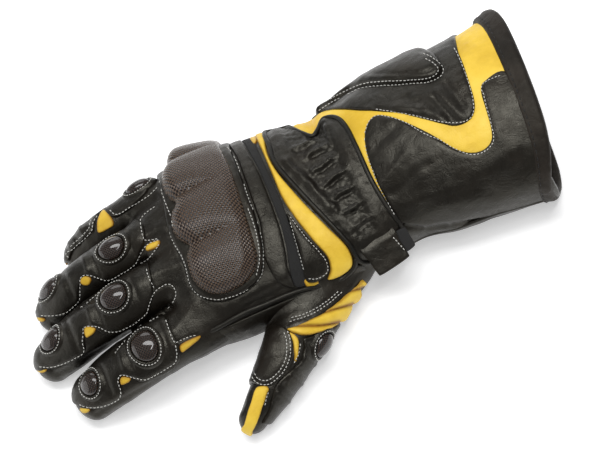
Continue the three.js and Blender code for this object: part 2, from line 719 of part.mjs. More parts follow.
function addThumbPieces() {
  const side = above(layer(LAYER_1), THUMB_FLOOR);
  let ribs = layer(RIB.base).intersect(cut("ribs", 0, () => RIB_DEPTH));
  const ribRoom = cut("ribs", -GAP, () => RIB_DEPTH).subtract(form(GAP));
  for (const { u, v, toU, toV } of RIBS) {
    const rib = bump([u, v], [toU, toV], RIB.halfWidth, RIB.height, COARSE_SIDES);
    ribs = ribs.add(rib.intersect(ribRoom));
  }
  addPiece("thumb_ribs", ribs, YELLOW);
  const piece = (name) => side.intersect(cut(name, 0, thumbDepth));
  addPiece("thumb_patch", without(piece("thumb_patch"), "side_band", "thumb_strip_short"), BLACK);
  addPiece("thumb_strip_short", without(piece("thumb_strip_short"), "side_band", "ribs"), YELLOW);
  addPiece("thumb_strip_long", without(piece("thumb_strip_long"), "thumb_patch"), YELLOW);
  const neighbours = ["thumb_strip_long", "thumb_strip_short", "ribs", "thumb_patch"];
  addPiece("thumb_back_panel", without(piece("thumb_back"), ...neighbours), BLACK);
}

function addSideSliders() {
  for (const [name, { from, to, halfWidth, height, lift }] of Object.entries(SIDE_SLIDERS)) {
    addPiece(name, bump(from, to, halfWidth, height).subtract(form(lift)), CARBON, GLOSS);
  }
}

// How deep a thumb pattern cuts, so that it stays on the upper side of the thumb.
function thumbDepth(u) {
  const [ROOT_DEPTH, ROOT_U, SLOPE] = [18, -28, 0.22];
  return ROOT_DEPTH - SLOPE * (u - ROOT_U);
}

// How deep a finger's pattern cuts: a little below its middle line.
function digitDepth({ rows }) {
  const BELOW_MIDDLE = 5;
  return (u) => {
    const at = THREE.MathUtils.clamp(u, rows[rows.length - 1].x, rows[0].x);
    const [y, z] = [smoothColumn(rows, "x", "y", at), smoothColumn(rows, "x", "z", at)];
    return new THREE.Vector3(0, y, z).sub(DRAWING_MIDDLE).dot(SQUARE) - BELOW_MIDDLE;
  };
}

function addFingerPieces() {
  const ringLayer = layer([GAP, RING_HEIGHT]);
  for (const [name, limits] of Object.entries(BETWEEN_FINGERS)) {
    const depth = digitDepth(DIGITS[name]);
    const outline = cut(`${name}_panel`, 0, depth);
    let panel = between(fingerEnd(layer(LAYER_1)), limits).intersect(outline);
    const own = SLIDERS.filter((row) => row.finger === name);
    own.forEach(({ u, v, length, width }, i) => {
      const place = oval(u, v, length, width);
      panel = panel.add(ringLayer.intersect(over(grown(place, RING_WIDTH), depth)));
      panel = panel.subtract(over(grown(place, GAP), depth));
      const half = (length - width) / 2;
      const ends = half > 0 ? [[u - half, v], [u + half, v]] : [[u, v + half], [u, v - half]];
      const dome = bump(...ends, Math.min(length, width) / 2, SLIDER_HEIGHT);
      const slider = dome.intersect(over(place, depth)).subtract(form(GAP));
      addPiece(`${name}_slider_${i + 1}`, slider, CARBON, GLOSS);
    });
    addPiece(`${name}_panel`, panel, BLACK);
  }
}

addHand();
addSleeves();
addGauntlet();
addGauntletPanels();
addWrist();
addBackOfHand();
addGuard();
addThumbPieces();
addFingerPieces();
addSideSliders();

for (const piece of glove.children) piece.geometry.translate(-CENTRE_X, -CENTRE_Y, 0);
export default glove;
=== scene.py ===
# %% [markdown]
# # A long-cuff motorcycle glove
#
# The glove lies palm down, with its fingers to the left and its cuff to the right. This lesson dresses a packed plain model
# of it. The plain solids set the sizes, and each visible piece of leather, plastic, cloth or thread is worked out here as a
# surface that stands for the solid of the same name.
#
# Every piece is laid on one smooth form: a tube for the palm, wrist and cuff, and a tube for each finger and the thumb. A
# glove could also be sculpted by hand or sewn in a cloth simulation. Formulas were chosen because they keep each edge and
# seam where the photograph has it, and give the same result in every run. Work is in millimetres in the form's own axes,
# and only the last step of each mesh moves it to the shared frame, in metres.

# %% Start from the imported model
import json
import math

import bpy
import numpy as np
from mathutils import Matrix, Vector
from mathutils.bvhtree import BVHTree
from mathutils.geometry import delaunay_2d_cdt

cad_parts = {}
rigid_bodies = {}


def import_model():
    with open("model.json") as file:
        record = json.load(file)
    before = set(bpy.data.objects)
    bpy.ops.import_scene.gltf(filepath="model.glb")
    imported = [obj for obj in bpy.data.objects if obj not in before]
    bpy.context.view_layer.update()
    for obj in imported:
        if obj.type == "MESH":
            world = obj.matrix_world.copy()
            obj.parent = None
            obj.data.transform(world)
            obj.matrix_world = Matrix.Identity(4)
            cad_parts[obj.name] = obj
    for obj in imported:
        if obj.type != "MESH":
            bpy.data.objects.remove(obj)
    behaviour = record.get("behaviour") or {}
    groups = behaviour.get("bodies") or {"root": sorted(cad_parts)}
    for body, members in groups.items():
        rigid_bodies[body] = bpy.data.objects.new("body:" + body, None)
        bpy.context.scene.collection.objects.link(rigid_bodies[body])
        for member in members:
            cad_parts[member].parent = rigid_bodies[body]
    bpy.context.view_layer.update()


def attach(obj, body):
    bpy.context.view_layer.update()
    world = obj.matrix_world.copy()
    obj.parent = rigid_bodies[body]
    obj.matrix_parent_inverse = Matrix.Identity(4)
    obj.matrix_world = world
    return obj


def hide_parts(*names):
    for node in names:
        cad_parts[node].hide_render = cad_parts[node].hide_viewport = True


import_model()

# %% [markdown]
# A few small curves come back in every piece. A smooth step fades one shape into the next, a bell makes folds and grooves,
# and a quarter circle rises steeply from a border and ends level, as padded leather does beside its seam.

# %% Small helpers
MM_PER_M = 1000.0
SHIFT_TO_FRAME = np.array([8.25, 12.1, 0.0])  # from the form's own axes to the shared frame, mm
TINY = 1e-9
rng = np.random.default_rng(7)


def unit(vectors):
    """Each vector divided by its own length."""
    return vectors / np.maximum(np.linalg.norm(vectors, axis=-1, keepdims=True), TINY)


def smoothstep(value, low, high):
    """0 below low and 1 above high, and between them 3 t squared less 2 t cubed."""
    t = np.clip((value - low) / (high - low), 0, 1)
    return t * t * (3 - 2 * t)


def bell(distance, half_width):
    """e to the power of less the square of distance over half width: 1 in the middle, near 0 two widths out."""
    return np.exp(-((distance / half_width) ** 2))


def quarter_circle(t):
    """The root of 1 less (1 - t) squared: from 0 to 1 over t from 0 to 1, steep first and level last."""
    return np.sqrt(1 - (1 - np.clip(t, 0, 1)) ** 2)


print("shift to the shared frame, mm:", SHIFT_TO_FRAME.tolist())

# %% [markdown]
# ## The form
#
# The body of the glove is a hand's back and palm that narrow to the wrist and open out into the cuff. It could be drawn as
# a curve network and lofted. A table with one row for each section is easier to read and to change, so the sizes are kept
# that way, and a smooth curve runs through each column.

# %% Tables of the form


def table(columns, rows):
    """A dictionary with one array for each named column."""
    names = columns.split()
    return {name: np.array([row[i] for row in rows], float) for i, name in enumerate(names)}


TRUNK = table(
    "x middle half_width bottom top",
    [
        [-90, 16, 52, 14, 45],
        [-78, 15, 57, 9, 51],
        [-60, 14.5, 59.5, 2.5, 56],
        [-40, 14, 59.5, -0.8, 57],
        [-20, 13, 59, -0.8, 57],
        [0, 12.8, 57.2, -0.8, 55],
        [20, 11, 53.5, 1, 53],
        [34, 11.2, 52.5, 2, 52],
        [50, 12.2, 51, 2, 55],
        [65, 12.8, 51.7, 1, 60],
        [85, 9.5, 54.5, -0.8, 64],
        [112, 7, 56.5, -0.8, 67],
        [135, 5.5, 58.5, -0.8, 69],
        [158, 6, 61.5, -0.8, 70],
    ],
)
TRUNK_FRONT, TRUNK_BACK = -90.0, 158.0

FINGER_COLUMNS = "x y z half_width half_depth"
FINGER_ROWS = {
    "index": [
        [-62, -27, 27, 14, 13], [-85, -29, 28, 17, 15], [-100, -30, 28, 17, 15],
        [-120, -31, 26, 17, 14], [-140, -31, 20, 16.5, 13], [-156, -30.5, 12, 14.5, 12],
    ],
    "middle": [
        [-62, 5, 32, 14, 14], [-85, 4.5, 34, 15.5, 16], [-100, 4, 34, 15.5, 15.5], [-120, 3.5, 32.5, 15.5, 14.5],
        [-140, 3.5, 27, 15.5, 13.5], [-158, 4, 18, 14.5, 12.5], [-169.5, 4.5, 11.5, 13, 11.5],
    ],
    "ring": [
        [-62, 36, 32, 12, 14], [-85, 35, 33, 13.5, 16], [-100, 34.5, 33, 13.5, 15], [-118, 34.5, 31, 13.5, 14],
        [-135, 34.5, 25.5, 13.5, 13], [-149, 34, 18, 13.5, 12], [-157, 34, 11.5, 12.5, 11.5],
    ],
    "little": [
        [-55, 59, 27, 10, 11], [-75, 61.5, 28, 12, 13.5], [-90, 61.5, 27, 12, 13],
        [-105, 61.5, 24.5, 12, 12], [-118, 62, 19, 12, 11], [-128, 61.5, 11.5, 11, 10.5],
    ],
    "thumb": [
        [10, -32, 15, 17, 13], [-10, -44, 17, 18, 15.5], [-28, -57.5, 18, 17, 16],
        [-45, -71, 17, 14.5, 14.5], [-62, -83, 14, 11.5, 12], [-75, -91, 11, 8.5, 10],
    ],
}
FINGERTIP_LENGTHS = {"index": 13, "middle": 12.5, "ring": 12, "little": 11, "thumb": 10}


def smooth_column(keys, values, at):
    """A value between the rows: a straight line plus a bend that meets the rows' slopes on either side."""
    slope = np.empty_like(values)
    slope[1:-1] = (values[2:] - values[:-2]) / (keys[2:] - keys[:-2])
    slope[0] = (values[1] - values[0]) / (keys[1] - keys[0])
    slope[-1] = (values[-1] - values[-2]) / (keys[-1] - keys[-2])
    i = np.clip(np.searchsorted(keys, at, side="right") - 1, 0, len(keys) - 2)
    span = keys[i + 1] - keys[i]
    t = (at - keys[i]) / span
    rise = values[i + 1] - values[i]
    bend = (1 - t) * (slope[i] * span - rise) + t * (rise - slope[i + 1] * span)
    return values[i] + t * rise + t * (1 - t) * bend


print("sections of the body:", len(TRUNK["x"]), "and of the fingers:", {k: len(v) for k, v in FINGER_ROWS.items()})

# %% [markdown]
# ### From palm to cuff
#
# A place on this tube is (x, angle), with the angle running from the thumb side over the back of the hand. A plain ellipse
# would look like a pipe. A hand lying on a table is squarer, above all underneath, so the cosine and the sine of the
# ellipse are raised to a power below one. The cuff's edge also leans and bows, so its sections are moved along x.

# %% The palm-to-cuff tube
WIDEST_SHARE = 0.45  # how high up a section is widest, as a share of its height
TOP_SQUARENESS, SOLE_SQUARENESS = 0.94, 0.72
CUFF_SKEW, CUFF_BOW, SKEW_FROM = 0.13, 2.0, 95.0
CUFF_CORNER, CORNER_FROM = 8.0, 130.0
FRONT_BLEND = 7.0


def trunk_section(x):
    """Middle, half width, bottom, top and widest height of the section at x."""
    at = np.clip(x, TRUNK_FRONT, TRUNK_BACK)
    columns = ("middle", "half_width", "bottom", "top")
    middle, half, bottom, top = (smooth_column(TRUNK["x"], TRUNK[c], at) for c in columns)
    return middle, half, bottom, top, bottom + WIDEST_SHARE * (top - bottom)


def cuff_shift(x, across, side):
    """How far the cuff's end moves along x: skew times across, a bow from side to side, less a drop at the corners."""
    edge = smoothstep(x, SKEW_FROM, TRUNK_BACK) * (CUFF_SKEW * across + CUFF_BOW * (1 - side**2))
    return edge - smoothstep(x, CORNER_FROM, TRUNK_BACK) * CUFF_CORNER * side**6


def trunk_point(x, angle, lift=0.0):
    """Middle plus half width times cosine to a power, and height plus reach times sine to the same power."""
    middle, half, bottom, top, widest = trunk_section(x)
    c, s = np.cos(angle), np.sin(angle)
    power = np.where(s >= 0, TOP_SQUARENESS, SOLE_SQUARENESS)
    side = np.sign(c) * np.abs(c) ** power
    across = -(half + lift) * side
    reach = np.where(s >= 0, top - widest, widest - bottom) + lift
    height = widest + reach * np.sign(s) * np.abs(s) ** power
    return np.stack(np.broadcast_arrays(x + cuff_shift(x, across, side), middle + across, height), -1)


def unshifted(x, y):
    """The section that a point of the cuff belongs to: the shift at the last guess is taken off, twice."""
    at = x
    for _ in range(2):
        middle, half, *_ = trunk_section(at)
        across = y - middle
        at = x - cuff_shift(at, across, np.clip(across / half, -1, 1))
    return at


def smooth_max(a, b, blend):
    """The larger of two distances, rounded where they differ by less than the blend."""
    h = np.clip(0.5 + 0.5 * (a - b) / blend, 0, 1)
    return b + (a - b) * h + blend * h * (1 - h)


def smooth_min(a, b, blend):
    """The smaller of two distances, rounded in the same way."""
    return -smooth_max(-a, -b, blend)


def trunk_distance(p):
    """How far a point lies outside the tube: its size in the squared ellipse, less one, times the section's reach."""
    middle, half, bottom, top, widest = trunk_section(unshifted(p[:, 0], p[:, 1]))
    above = p[:, 2] >= widest
    power = 2 / np.where(above, TOP_SQUARENESS, SOLE_SQUARENESS)
    reach = np.where(above, top - widest, widest - bottom)
    sideways, upwards = np.abs((p[:, 1] - middle) / half), np.abs((p[:, 2] - widest) / reach)
    q = (sideways**power + upwards**power + TINY) ** (1 / power)
    return smooth_max((q - 1) * reach, TRUNK_FRONT - p[:, 0], FRONT_BLEND)


print("cuff, mm:", [round(float(v), 1) for v in trunk_section(TRUNK_BACK)])

# %% [markdown]
# ### Fingers and thumb
#
# A gloved finger is a tube round a bent middle line, a little wider than it is deep, with a rounded tip. Blender could skin
# an armature, but a tube with its own directions also tells where each sewn panel, slider and stitch goes. Its place is
# (distance along, angle): the angle runs from the little-finger side over the top, and the distance carries on round the
# fingertip.

# %% Finger tubes
FINGER_SAMPLES = 60
FAR_AWAY = 60.0  # distance given to points too far off to matter, mm
ROOT_REACH = 20.0  # how fast a finger fades out behind its root, mm


class Digit:
    """One finger: points, sizes and directions at even steps of its middle line."""

    def __init__(self, tip, rows):
        """A smooth middle line through the rows, sizes on straight lines between them, and three square directions."""
        n = len(rows["x"])
        keys = np.arange(n, dtype=float)
        at = np.linspace(0, n - 1, FINGER_SAMPLES)
        self.tip = tip
        self.line = np.stack([smooth_column(keys, rows[c], at) for c in "xyz"], 1)
        self.width, self.depth = (np.interp(at, keys, rows[c]) for c in ("half_width", "half_depth"))
        self.along = unit(np.gradient(self.line, axis=0))
        self.across = unit(np.cross(self.along, [0, 0, 1.0]))
        self.up = np.cross(self.across, self.along)
        steps = np.linalg.norm(np.diff(self.line, axis=0), axis=1)
        self.at = np.concatenate([[0], np.cumsum(steps)])
        self.length = self.at[-1]

    def column(self, values, a):
        """Values of the middle line at distance a, on straight lines between its samples."""
        if values.ndim == 1:
            return np.interp(a, self.at, values)
        return np.stack([np.interp(a, self.at, values[:, i]) for i in range(3)], -1)

    def point(self, a, angle, lift=0.0):
        """Centre plus width times cosine across and depth times sine up. Past the end both shrink as a quarter circle."""
        a, angle = np.broadcast_arrays(a, angle)
        along_tube = np.clip(a, 0, self.length)
        turn = np.clip((a - self.length) / self.tip, 0, math.pi / 2)
        close = np.cos(turn)
        forward = ((self.tip + lift) * np.sin(turn))[..., None]
        centre = self.column(self.line, along_tube) + self.column(self.along, along_tube) * forward
        width, depth = ((self.column(v, along_tube) + lift) * close for v in (self.width, self.depth))
        sideways = self.column(self.across, along_tube) * (width * np.cos(angle))[..., None]
        return centre + sideways + self.column(self.up, along_tube) * (depth * np.sin(angle))[..., None]

    def distance(self, p):
        """How far points lie outside the tube: their size in its ellipse, less one, times its smaller half axis."""
        far = np.full(len(p), FAR_AWAY)
        low, high = self.line.min(0) - 32, self.line.max(0) + 32
        near = np.all((p > low) & (p < high), axis=1)
        q = p[near]
        if len(q) == 0:
            return far
        gap = ((q[:, None, :] - self.line[None]) ** 2).sum(-1)
        i = gap.argmin(1)
        reach = ((q - self.line[i]) * self.along[i]).sum(1)
        a = np.clip(self.at[i] + reach, 0, self.length)
        off = q - self.column(self.line, a)
        beyond = self.at[i] + reach > self.length
        width, depth = self.column(self.width, a), self.column(self.depth, a)
        side = (off * self.column(self.across, a)).sum(1) / width
        rise = (off * self.column(self.up, a)).sum(1) / depth
        past_tip = (off * self.along[-1]).sum(1) / self.tip
        front = np.where(beyond, past_tip, (off * self.column(self.along, a)).sum(1) / ROOT_REACH)
        far[near] = (np.sqrt(side**2 + rise**2 + front**2) - 1) * np.minimum(width, depth)
        return far


DIGIT = {name: Digit(FINGERTIP_LENGTHS[name], table(FINGER_COLUMNS, rows)) for name, rows in FINGER_ROWS.items()}
print("finger lengths, mm:", {name: round(d.length + d.tip) for name, d in DIGIT.items()})

# %% [markdown]
# ### One blended form
#
# Leather runs from the hand into the fingers without a step. The distance to the whole form is the smallest of the
# distances to the tubes, rounded where two are nearly equal. A point is settled on it by going against the slope of that
# distance, a few times over, which also gives the way that the leather faces there.

# %% Blend and settle
BLEND = 6.0
LONGEST_STEP = 4.0


def form_distance(p):
    """Distance to the palm-to-cuff tube and the nearest finger, blended."""
    fingers = np.min([d.distance(p) for d in DIGIT.values()], axis=0)
    return smooth_min(trunk_distance(p), fingers, BLEND)


def settle(points, steps=2, probe=0.4):
    """Each step moves a point by less its distance times the slope over the slope squared. Gives points and ways."""
    p = points.copy()
    for step in range(steps + 1):
        ahead, behind = ([form_distance(p + sign * probe * e) for e in np.eye(3)] for sign in (1, -1))
        g = np.stack([a - b for a, b in zip(ahead, behind)], 1) / (2 * probe)
        size = np.maximum((g**2).sum(1, keepdims=True), 0.05)
        if step < steps:
            p = p - np.clip(form_distance(p)[:, None], -LONGEST_STEP, LONGEST_STEP) * g / size
    return p, g / np.sqrt(size)


print("blend between fingers and hand, mm:", BLEND)

# %% [markdown]
# ## The drawing plane
#
# Pattern outlines, seams and folds are drawn flat, as the photograph shows them. The plane leans 60 degrees towards the
# thumb side: u runs along the hand and v across it, v = y sin 60 + (z - 30) cos 60. The photograph is taken from some way
# above, so leather nearer to it looks a little larger. That is put into the drawing, or the cuff's panels would land 3 mm
# off.

# %% Drawing plane
LEAN = math.radians(60)
ACROSS = np.array([0, math.sin(LEAN), math.cos(LEAN)])
SQUARE = np.array([0, -math.cos(LEAN), math.sin(LEAN)])
DRAWING_Z = 30.0
DRAWING_MIDDLE = np.array([0, 0, DRAWING_Z])
EYE = 1500.0  # the photograph is taken from this far above the plane, mm


def nearness(p):
    """Eye distance over the distance that is left from the eye down to the point."""
    return EYE / (EYE - (p - DRAWING_MIDDLE) @ SQUARE)


def on_drawing(p):
    """A point's (u, v): x and the share across the plane, both times its nearness."""
    return np.stack([p[..., 0], (p - DRAWING_MIDDLE) @ ACROSS], -1) * nearness(p)[..., None]


print("nearness of the guard's top:", round(float(nearness(np.array([-40.0, 14.0, 65.0]))), 4))

# %% [markdown]
# Drawn lines need three tools: the distance from points to a line, which points lie inside an outline, and a smooth curve
# through a few named corners. Corners are kept few, because each is a measure that somebody has to read off and may change.

# %% Lines on the drawing


def segment_distance(points, line, closed=False):
    """Least distance from each point to the pieces of a polyline, and how far along the line that place is."""
    a = np.asarray(line, float)
    b = np.roll(a, -1, axis=0) if closed else a[1:]
    a = a if closed else a[:-1]
    lengths = np.linalg.norm(b - a, axis=1)
    before = np.concatenate([[0], np.cumsum(lengths)[:-1]])
    best = np.full(len(points), 1e9)
    along = np.zeros(len(points))
    for k in range(len(a)):
        ab = b[k] - a[k]
        t = np.clip(((points - a[k]) @ ab) / max(ab @ ab, TINY), 0, 1)
        d = np.hypot(*(points - a[k] - t[:, None] * ab).T)
        nearer = d < best
        best[nearer] = d[nearer]
        along[nearer] = before[k] + t[nearer] * lengths[k]
    return best, along


def inside(points, outline):
    """A point is inside where a line from it to the right crosses the outline an odd number of times."""
    result = np.zeros(len(points), bool)
    x, y = points[:, 0], points[:, 1]
    for (x0, y0), (x1, y1) in zip(outline, np.roll(outline, -1, axis=0)):
        crosses = (y0 > y) != (y1 > y)
        if y1 != y0:
            result ^= crosses & (x < x0 + (y - y0) * (x1 - x0) / (y1 - y0))
    return result


def run_along(line):
    """How far along a polyline each of its points is: the lengths of its pieces, added up."""
    return np.concatenate([[0], np.cumsum(np.linalg.norm(np.diff(line, axis=0), axis=1))])


def curve_through(points, spacing, closed):
    """A smooth column for each coordinate, keyed by the root of the corners' gaps, cut into even steps."""
    p = np.asarray(points, float)
    if closed:
        p = np.concatenate([p[-2:], p, p[:3]])
    step = np.sqrt(np.linalg.norm(np.diff(p, axis=0), axis=1))
    keys = np.concatenate([[0], np.cumsum(np.maximum(step, 1e-6))])
    low, high = (keys[2], keys[-3]) if closed else (keys[0], keys[-1])
    fine = np.linspace(low, high, 40 * len(p))
    q = np.stack([smooth_column(keys, p[:, i], fine) for i in range(p.shape[1])], 1)
    run = run_along(q)
    count = max(int(round(run[-1] / spacing)), 3)
    at = np.linspace(0, run[-1], count + 1)
    if closed:
        at = at[:-1]
    return np.stack([np.interp(at, run, q[:, i]) for i in range(q.shape[1])], 1)


print("a square of 10 mm, rounded, in steps:", len(curve_through([[0, 0], [10, 0], [10, 10], [0, 10]], 1.0, True)))

# %% [markdown]
# ## Surfaces that carry the pieces
#
# A tailor cuts flat leather and lays it on the last. Two kinds of surface do that here, one for the body and one for each
# finger. Each turns flat pattern coordinates (a, b), close to real millimetres, into a point and the way that the leather
# faces, and finds the (a, b) that lies under a place on the drawing. Shrinkwrap could lay a flat mesh too, but it slides
# and bunches at the sides, and these keep the weave and the edges even.

# %% Carrying surfaces
ARC = 52.0  # mm of body leather for a turn of one radian
FINGER_ARC = 15.0  # the same on a finger


def facing(point_at, a, b, step=0.2):
    """The cross product of the small moves along a and along b, one unit long."""
    da = point_at(a + step, b) - point_at(a - step, b)
    db = point_at(a, b + step) - point_at(a, b - step)
    return unit(np.cross(da, db))


class TrunkSurface:
    """The body's leather. Past the edge that the drawing shows, a pattern carries on round the far side."""

    angles = np.radians(np.arange(-40, 200, 0.5))
    EDGE_V = 75.0  # the v that patterns use for the far side
    FAR_SIDE = math.radians(178)
    UNDER_REACH = 20.0  # mm of drawing for one radian under the near side

    def at(self, a, b):
        """The tube's point at x = a and at an angle of b over the arc."""
        return trunk_point(a, b / ARC)

    def lay(self, ab):
        """Each point on the leather, and the way that it faces."""
        p = self.at(ab[:, 0], ab[:, 1])
        return p, facing(self.at, ab[:, 0], ab[:, 1])

    def under(self, uv):
        """For each place: the angle whose drawn height is v, and the x that is drawn at u, found in three rounds."""
        found = []
        for u, v in uv:
            x = u
            for _ in range(3):
                p = trunk_point(np.full_like(self.angles, x), self.angles)
                heights = on_drawing(p)[:, 1]
                top, low = heights.argmax(), heights.argmin()
                if v > heights[top]:
                    share = (v - heights[top]) / max(self.EDGE_V - heights[top], 1)
                    angle = self.angles[top] + share * (self.FAR_SIDE - self.angles[top])
                elif v < heights[low]:
                    angle = self.angles[low] - (heights[low] - v) / self.UNDER_REACH
                else:
                    angle = np.interp(v, heights[low : top + 1], self.angles[low : top + 1])
                y, near = (np.interp([angle], self.angles, column) for column in (p[:, 1], nearness(p)))
                x = unshifted(np.array([u]) / near, y)[0]
            found.append((x, angle * ARC))
        return np.array(found)


class DigitSurface:
    """A finger's leather, with the drawn places of a fine grid of its points."""

    BEYOND_EDGE = 12.0  # mm of drawing for one radian past the side that is seen

    def __init__(self, digit):
        """Keeps the points of a fine grid that face the drawing, where the way out times its square is above 0."""
        self.digit = digit
        a = np.linspace(0, digit.length + 1.45 * digit.tip, 420)
        angle = np.radians(np.linspace(-80, 260, 300))
        self.a, self.angle = (g.ravel() for g in np.meshgrid(a, angle, indexing="ij"))
        p = digit.point(self.a, self.angle)
        n = facing(lambda s, t: digit.point(s, t / FINGER_ARC), self.a, self.angle * FINGER_ARC)
        seen = n @ SQUARE > 0
        self.a, self.angle, self.uv = self.a[seen], self.angle[seen], on_drawing(p[seen])

    def at(self, a, b):
        """The finger's point a along it and at an angle of b over the finger's arc."""
        return self.digit.point(a, b / FINGER_ARC)

    def lay(self, ab):
        """Each point after one step of settling, and the way that it faces."""
        return settle(self.at(ab[:, 0], ab[:, 1]), steps=1)

    def under(self, uv):
        """The grid point drawn nearest to each place, turned further round where the place is off the finger."""
        found = []
        for place in uv:
            gap = np.hypot(*(self.uv - place).T)
            i = gap.argmin()
            beyond = max(gap[i] - 0.4, 0) / self.BEYOND_EDGE
            away = -1 if self.angle[i] < math.pi / 2 else 1
            found.append((self.a[i], (self.angle[i] + away * beyond) * FINGER_ARC))
        return np.array(found)


trunk_surface = TrunkSurface()
digit_surface = {name: DigitSurface(digit) for name, digit in DIGIT.items()}
print("points in view on each finger:", {name: len(s.a) for name, s in digit_surface.items()})

# %% [markdown]
# ## Materials
#
# Every finish is made of procedural nodes that read object coordinates in metres, or the piece's own flat pattern where a
# cloth or weave follows the surface. Photographs of leather could be wrapped on the pieces instead. Nodes have no edges or
# repeats, take a change of colour in one number, and need no picture file.

# %% Material helpers


def new_material(name):
    """A material with its nodes, its links and its main shader."""
    material = bpy.data.materials.new(name)
    material.use_nodes = True
    nodes, links = material.node_tree.nodes, material.node_tree.links
    return material, nodes, links, nodes["Principled BSDF"]


def add_node(nodes, kind, **settings):
    """A new node: settings that start with in_ go to the socket of that name, and others to the node."""
    node = nodes.new(kind)
    for key, value in settings.items():
        if key.startswith("in_"):
            node.inputs[key[3:].replace("_", " ")].default_value = value
        else:
            setattr(node, key, value)
    return node


def colour_ramp(nodes, stops):
    """Colours between stops of (position, colour), on straight lines."""
    ramp = nodes.new("ShaderNodeValToRGB")
    elements = ramp.color_ramp.elements
    elements[0].position, elements[1].position = stops[0][0], stops[-1][0]
    elements[0].color, elements[1].color = (*stops[0][1], 1), (*stops[-1][1], 1)
    for position, colour in stops[1:-1]:
        elements.new(position).color = (*colour, 1)
    return ramp


def bump(nodes, links, height, strength, distance, under=None):
    """Turns a height into a shading normal, on top of the normal of another bump."""
    node = add_node(nodes, "ShaderNodeBump", in_Strength=strength, in_Distance=distance)
    links.new(height, node.inputs["Height"])
    if under is not None:
        links.new(under.outputs["Normal"], node.inputs["Normal"])
    return node


def calculator(nodes, links):
    """Gives a function that adds a Math node and returns its result. Each input is a number or another node's output."""

    def calculate(operation, *values):
        """One Math node, with its inputs filled in their order."""
        node = add_node(nodes, "ShaderNodeMath", operation=operation)
        for socket, value in zip(node.inputs, values):
            if isinstance(value, (int, float)):
                socket.default_value = value
            else:
                links.new(value, socket)
        return node.outputs[0]

    return calculate


def plain(name, colour, roughness, specular=0.5):
    """One colour all over, for thread, cloth and the floor."""
    material, nodes, links, shader = new_material(name)
    shader.inputs["Base Color"].default_value = (*colour, 1)
    shader.inputs["Roughness"].default_value = roughness
    shader.inputs["Specular IOR Level"].default_value = specular
    return material


THREAD = plain("white thread", (0.62, 0.61, 0.57), 0.6, 0.3)
DARK_THREAD = plain("black thread", (0.006, 0.006, 0.006), 0.6)
LINING = plain("lining cloth", (0.012, 0.012, 0.013), 0.9, 0.2)
print("plain finishes:", [m.name for m in (THREAD, DARK_THREAD, LINING)])

# %% [markdown]
# ### Leather
#
# Real cowhide has three sizes of unevenness: a fine grain of cells, thin wrinkles where it has been bent, and soft creases.
# Voronoi cells give the first two by their distance to the nearest edge, and noise gives the third. The same noise
# makes the worn places smoother. An attribute of painted shade darkens the colour in creases and along borders.

# %% Leather
PATCH_SCALE, CREASE_SCALE, WRINKLE_SCALE, GRAIN_SCALE = 32.0, 105.0, 210.0, 1000.0  # per metre
GRAIN_DEPTH, WRINKLE_DEPTH, CREASE_DEPTH = 0.00016, 0.0002, 0.0012  # metres
# The colour that painted shade multiplies in, in creases and along borders.
PAINTED_SHADE_COLOUR = (0.3, 0.17, 0.08, 1)
WARM_SHINE = (1.0, 0.96, 0.82, 1)


